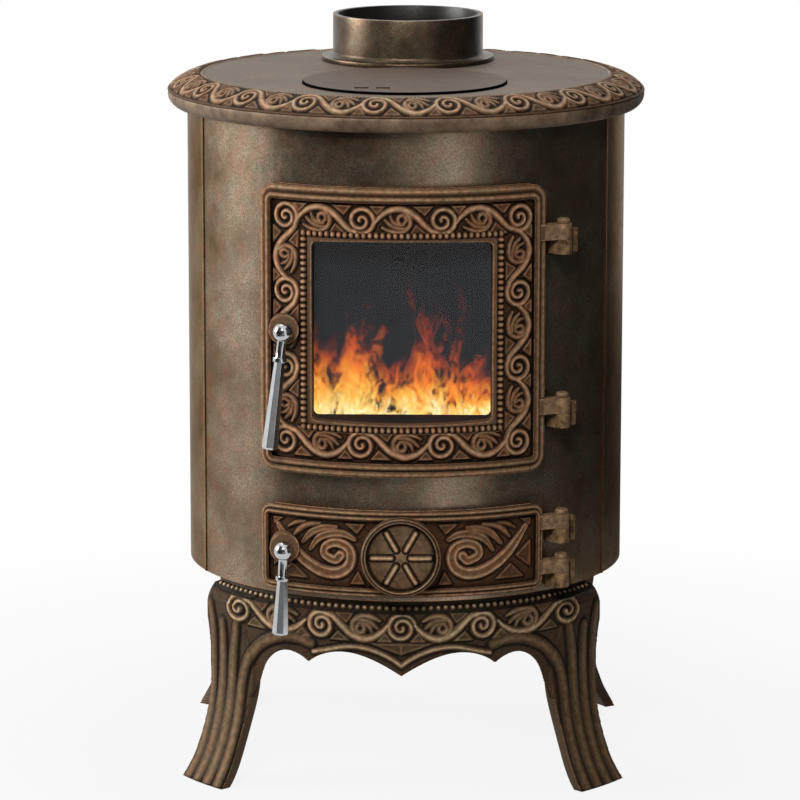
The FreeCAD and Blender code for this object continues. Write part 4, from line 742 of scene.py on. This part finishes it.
ash_half, ash_corner, ash_ridges = 140.5, 11.0, (4.5, 4.0)
(_, _, ash_low), (_, _, ash_high) = box_mm("ash_door")
ash_inset = sum(ash_ridges) - lap
moulding("ash_door_frame", "ash_door", frame_relief, rounded(ash_half, ash_low, ash_high, ash_corner),
         stepped_frame(*ash_ridges))
arc, rise = np.meshgrid(np.linspace(ash_inset - ash_half, ash_half - ash_inset, 331),
                        np.linspace(ash_low + ash_inset, ash_high - ash_inset, 83))
relief = np.zeros(arc.shape)
field = (arc, rise, relief)
scroll_up = 1.0
for side in (-1, 1):
    def mirror(points):
        return [(side * u, z + scroll_up) for u, z in points]
    scroll = [(57.5, 236.6), (62.7, 231.9), (72.9, 236.6), (71.5, 244.6), (61.4, 248.6), (50.6, 244.8),
              (47, 235.4), (50.7, 225.4), (61, 219.6), (75.1, 220.4), (89.3, 226.8), (101.4, 236),
              (111.3, 247), (121.5, 260.5)]
    scroll_widths = [5.2, 4.6, 4.6, 5.0, 5.4, 5.8, 6.4, 6.6, 6.2, 5.2, 2.6]
    strand(field, smooth(mirror(scroll)), scroll_widths, height=2.9, fullness=0.35, hollow=0.42)
    for leaf, widths, height, fullness, hollow in (
            ([(44, 252.6), (53, 257), (65.4, 257.2), (78.3, 252), (87.5, 240.5)],
             [2.4, 3.9, 4.4, 4.0, 2.0], 2.8, 0.4, 0.4),
            ([(62, 263.4), (74, 262), (86, 256.4), (95.4, 246.6)], [2.2, 3.6, 3.9, 2.0], 2.7, 0.4, 0.35),
            ([(78, 266), (90, 263.6), (98.4, 258.6), (104.4, 252)], [2.0, 3.1, 3.3, 1.8], 2.2, 0.7, 0.0),
            ([(93, 266.6), (102, 264.6), (110.4, 260)], [1.8, 2.6, 1.6], 2.0, 0.7, 0.0)):
        strand(field, smooth(mirror(leaf)), widths, height, fullness, hollow)
    for corners in ([(33, 268), (55, 268), (41.3, 257)], [(33, 209), (49, 209), (40.5, 223.6)],
                    [(128, 248), (110.2, 233), (127.4, 219.5)], [(88.6, 211.4), (122, 211.4), (106, 227)],
                    [(128, 268.6), (114, 268.6), (127, 259)]):
        wedge(field, mirror(corners), 1.9)
door_skin("ash_door_relief", "ash_door", arc, rise, relief, top=2.5)

disc_relief = bronzed_iron("bronze_disc_with_rubbing_and_painted_light", ("#2a1e15", "#4a3a2a"), "#86735a",
                           relief=[(0.0, "#0b0604"), (0.15, "#20140d"), (0.45, "#4a392a"), (0.75, "#6f5b47"),
                                   (0.9, "#957a60"), (1.0, "#d0b190")])
(_, _, disc_low), (_, disc_back, disc_high) = box_mm("draft_disc")
disc_mid, disc_r, disc_let_in = (disc_low + disc_high) / 2, 37.75, 1.5
# Round each finger a ring is painted dark as shade; the fingers' crests are rubbed bright with a painted
# highlight.
finger_ends, finger_half, painted_shade_half, finger_lift = (8.8, 27.2), 3.1, 4.2, 2.4
spin, radius = np.meshgrid(np.linspace(0, 2 * math.pi, 181), np.linspace(0.3, disc_r, 91))
disc_x, disc_z = radius * np.cos(spin), radius * np.sin(spin)
relief, painted_shade_ring = np.zeros(spin.shape), np.zeros(spin.shape)
for finger in np.radians(np.arange(0, 360, 60)):
    way = [(r * math.cos(finger), r * math.sin(finger)) for r in finger_ends]
    strand((disc_x, disc_z, relief), way, [finger_half], finger_lift, fullness=0.5)
    strand((disc_x, disc_z, painted_shade_ring), way, [painted_shade_half], height=1.0)
lift = np.interp(radius, [0, 19, 29.2, 30.9, 31.6, 32.3, 33.6, 34.6, 35.3, 36.4, disc_r],
                 [10.3, 10.2, 9.4, 8.6, 7.7, 9.2, 12.5, 12.2, 11.65, 11.4, 9.6])
# The rub is lowest in the grooves between the rings, as painted shade, and highest on the ring crests, as rub
# and painted highlight.
rub_and_painted_light = np.interp(radius, [0, 28, 30.6, 31.4, 32.6, 33.6, 34.5, 35.3, 36.2, 37.0, disc_r],
                [0.85, 0.72, 0.45, 0.0, 0.55, 1.0, 0.5, 0.0, 0.8, 0.85, 0.2])
rub_and_painted_light = np.where(relief > 0, 1.05 * (relief / finger_lift) ** 2, np.where(painted_shade_ring > 0, 0.05, rub_and_painted_light))
front, back = (np.stack([disc_x, disc_back - depth, disc_mid + disc_z], axis=-1)
               for depth in (lift + relief, lift - disc_let_in))
skin("draft_disc_face", "draft_disc", disc_relief, front, back, rub_and_painted_light)


# Handles: turned steel spindle with a ball elbow, neck and collar ring, and an eight-sided grip, all
# polished and chrome plated; each hangs from its boss and turns a latch tongue behind the door.

def chrome(name):
    """Polished chrome plate: a bright mirror with faint smears from handling."""
    made, tree, shader = new_material(name)
    colour = mottled(tree, 18, 4.0, 0.6, [(0.0, "#d4d5d6"), (1.0, "#a9abae")])
    smear = add(tree, "MapRange", {"Value": mottled(tree, 6, 4.0, 0.6), "To Min": 0.07, "To Max": 0.22})
    fit(tree, shader, {"Base Color": colour, "Metallic": 1.0, "Roughness": smear})
    return made


dress(chrome("polished_chrome"), "fire_door_handle", "fire_door_grip", "ash_door_handle", "ash_door_grip",
      bevel=0.0004)


# Fire: tongues of burning wood gas over the grate, seen through the glass. They are drawn as thin glowing
# sheets that cast no shadow, and the piece can be hidden for a cold stove.

def burning_gas(name, lick_mm):
    """Flame: white hot at the root, through yellow and orange to red at the tip, clear at the edges."""
    made, tree, shader = new_material(name)
    tree.nodes.remove(shader)
    up = add(tree, "Attribute", {}, "Fac", attribute_name="height")
    body = add(tree, "Attribute", {}, "Fac", attribute_name="thickness")
    drawn_up = add(tree, "Mapping", {"Vector": add(tree, "TexCoord", {}, "Object"), "Scale": (1.0, 1.0, 0.7)})
    lick = add(tree, "TexNoise", {"Vector": drawn_up, "Scale": 1000.0 / lick_mm, "Detail": 6.0,
                                  "Distortion": 1.7})
    stirred = add(tree, "Math", {0: lick, 1: 1.3, 2: -0.7}, operation="MULTIPLY_ADD")
    warmth = add(tree, "Math", {0: up, 1: stirred}, operation="SUBTRACT")
    torn = add(tree, "ValToRGB", {"Fac": lick}, stops=[(0.44, "#000000"), (0.55, "#ffffff")])
    fade = add(tree, "ValToRGB", {"Fac": up}, stops=[(0.0, "#ffffff"), (0.45, "#b0b0b0"), (1.0, "#000000")])
    dense = add(tree, "Math", {0: fade, 1: body}, operation="MULTIPLY")
    dense = add(tree, "Math", {0: dense, 1: torn}, operation="MULTIPLY")
    heat = add(tree, "ValToRGB", {"Fac": warmth},
               stops=[(0.0, "#fff0bc"), (0.2, "#ffcf5a"), (0.38, "#ff9c1e"), (0.6, "#f0640f"),
                      (0.8, "#c43a08"), (1.0, "#7a1a04")])
    glow = add(tree, "Emission", {"Color": heat, "Strength": 2.0})
    clear = add(tree, "BsdfTransparent", {})
    both = add(tree, "MixShader", {0: dense, 1: clear, 2: glow})
    fit(tree, tree.nodes["Material Output"], {"Surface": both})
    return made


chance = np.random.default_rng(7)
tongues, low_tongues, rows, cols = 70, 62, 22, 7
bed_z, bed_half, wisp_x = 340, 88, 28
points, faces, ups, bodies = [], [], [], []
for tongue in range(tongues):
    wisp = tongue >= low_tongues
    root_x, root_y = chance.uniform(-bed_half, bed_half), chance.uniform(-150, -60)
    usual = np.interp(root_x, [-bed_half, -60, -15, 10, 30, 60, bed_half], [50, 92, 58, 54, 84, 40, 32])
    tall = chance.uniform(0.6, 1.25) * usual
    wide, sway, phase = chance.uniform(12, 26), chance.uniform(8, 24), chance.uniform(0, 6.3)
    if wisp:
        root_x, tall, wide = wisp_x + root_x / 5, chance.uniform(95, 140), chance.uniform(7, 13)
    lean, twist = chance.uniform(-0.25, 0.3) * (0.3 if wisp else 1.0), chance.uniform(-0.7, 0.7)
    first = len(points)
    for i in range(rows):
        t = i / (rows - 1)
        mid = root_x + lean * tall * t + sway * t * math.sin(phase + 4.2 * t)
        half = wide * (1 - t) ** 0.8 * (0.55 + 0.9 * t) + 0.2
        z = bed_z + 20 * t ** 0.5 + tall * t
        for j in range(cols):
            c = 2 * j / (cols - 1) - 1
            x, y = mid + half * c * math.cos(twist), root_y + half * c * math.sin(twist)
            points.append((x / 1000, y / 1000, z / 1000))
            ups.append(0.45 + 0.55 * t if wisp else t)
            bodies.append((1 - c * c) ** 0.8)
    for i in range(rows - 1):
        for j in range(cols - 1):
            a = first + i * cols + j
            faces.append((a, a + 1, a + cols + 1, a + cols))
gas = burning_gas("burning_wood_gas", lick_mm=16.129)
flames = new_piece("flames", points, faces, gas, height=ups, thickness=bodies)
flames.visible_diffuse = False
flames.visible_shadow = False
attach(flames, "stove")


# Stage: a white paper floor that keeps the stove's shadow, a white world, three soft lamps and the camera of
# the photograph. A curved card of black felt stands round the front and the right, open before the glass and
# at the front right; it shows only in reflections, and gives the bronze its dark bands.

def seen(tree):
    """1 for what the camera sees, straight, mirrored or through glass."""
    straight, mirrored, through = (add(tree, "LightPath", {}, "Is %s Ray" % kind)
                                   for kind in ("Camera", "Glossy", "Transmission"))
    either = add(tree, "Math", {0: straight, 1: mirrored}, operation="MAXIMUM")
    return add(tree, "Math", {0: either, 1: through}, operation="MAXIMUM")


def pale_floor(name):
    """White paper: it looks white to the camera and keeps a soft shadow round the feet."""
    made, tree, shader = new_material(name)
    fit(tree, shader, {"Base Color": linear("#8c8c8c"), "Roughness": 0.9})
    away = add(tree, "VectorMath", {0: add(tree, "TexCoord", {}, "Object")}, "Value", operation="LENGTH")
    share = add(tree, "MapRange", {"Value": away, "From Min": 0.3, "From Max": 1.0, "To Min": 0.88,
                                   "To Max": 1.0})
    share = add(tree, "Math", {0: seen(tree), 1: share}, operation="MULTIPLY")
    white = add(tree, "Emission", {"Color": linear("#ffffff"), "Strength": 1.0})
    both = add(tree, "MixShader", {0: share, 1: shader.outputs[0], 2: white})
    fit(tree, tree.nodes["Material Output"], {"Surface": both})
    return made


floor_size, floor_z = 14.0, -0.0002
bpy.ops.mesh.primitive_grid_add(x_subdivisions=4, y_subdivisions=4, size=floor_size,
                                location=(0, 0, floor_z))
floor = bpy.context.object
floor.name = "floor"
floor.data.materials.append(pale_floor("white_paper"))

world = bpy.data.worlds.new("studio")
bpy.context.scene.world = world
world.use_nodes = True
sky = world.node_tree
level = add(sky, "MapRange", {"Value": seen(sky), "To Min": 0.08, "To Max": 1.0})
fit(sky, sky.nodes["Background"], {"Color": linear("#ffffff"), "Strength": level})

aim = Vector((0, 0, 0.4))
for name, place, size, power in (("key_lamp", (-3.3, -0.1, 1.6), 1.8, 145.0),
                                 ("front_lamp", (-0.5, -3.3, 2.9), 1.2, 165.0),
                                 ("top_lamp", (-0.2, 0.8, 2.8), 1.6, 34.0)):
    lamp = bpy.data.lights.new(name, "AREA")
    lamp.energy = power
    lamp.size = size
    holder = bpy.data.objects.new(name, lamp)
    holder.location = place
    holder.rotation_euler = (aim - Vector(place)).to_track_quat("-Z", "Y").to_euler()
    bpy.context.collection.objects.link(holder)

# Felt is pressed wool: a dull and almost even black.
felt, tree, shader = new_material("black_felt_card")
fit(tree, shader, {"Base Color": mottled(tree, 4, 2.0, stops=[(0.0, "#050505"), (1.0, "#0c0c0c")])})
near, foot, top = (0.75, 0.01), (2.6, 0.01), (2.6, 4.0)
gap_near, gap_foot, fold = (1.8, 0.01), (2.6, 0.24), 4
points, faces = [], []
for first, last, start, end in ((-76, -4, near, foot), (-4, 4, near, gap_near), (4, 12, near, foot),
                                (36, 172, near, foot), (-76, -4, foot, top), (-4, 4, gap_foot, top),
                                (4, 12, foot, top), (36, 140, foot, top)):
    for a in range(first, last + 1, fold):
        for r, z in (start, end):
            points.append((r * math.sin(math.radians(a)), -r * math.cos(math.radians(a)), z))
        if a > first:
            faces.append((len(points) - 4, len(points) - 2, len(points) - 1, len(points) - 3))
card = new_piece("dark_flag", points, faces, felt)
card.visible_camera = False
card.visible_diffuse = False
card.visible_shadow = False

lens = bpy.data.cameras.new("photo_camera")
lens.sensor_width = 36.0
lens.lens = 196.2
camera = bpy.data.objects.new("photo_camera", lens)
bpy.context.collection.objects.link(camera)
camera_spot = (-0.005413, -4.18492, 1.17571)
tilt, turned, beside = math.radians(11.243), math.radians(0.086), math.radians(1.027)
camera.matrix_world = (Matrix.Rotation(beside, 4, "Z") @ Matrix.Translation(camera_spot)
                       @ Matrix.Rotation(math.pi / 2 - tilt, 4, "X") @ Matrix.Rotation(turned, 4, "Z"))
bpy.context.scene.camera = camera
bpy.context.scene.view_settings.view_transform = "Standard"
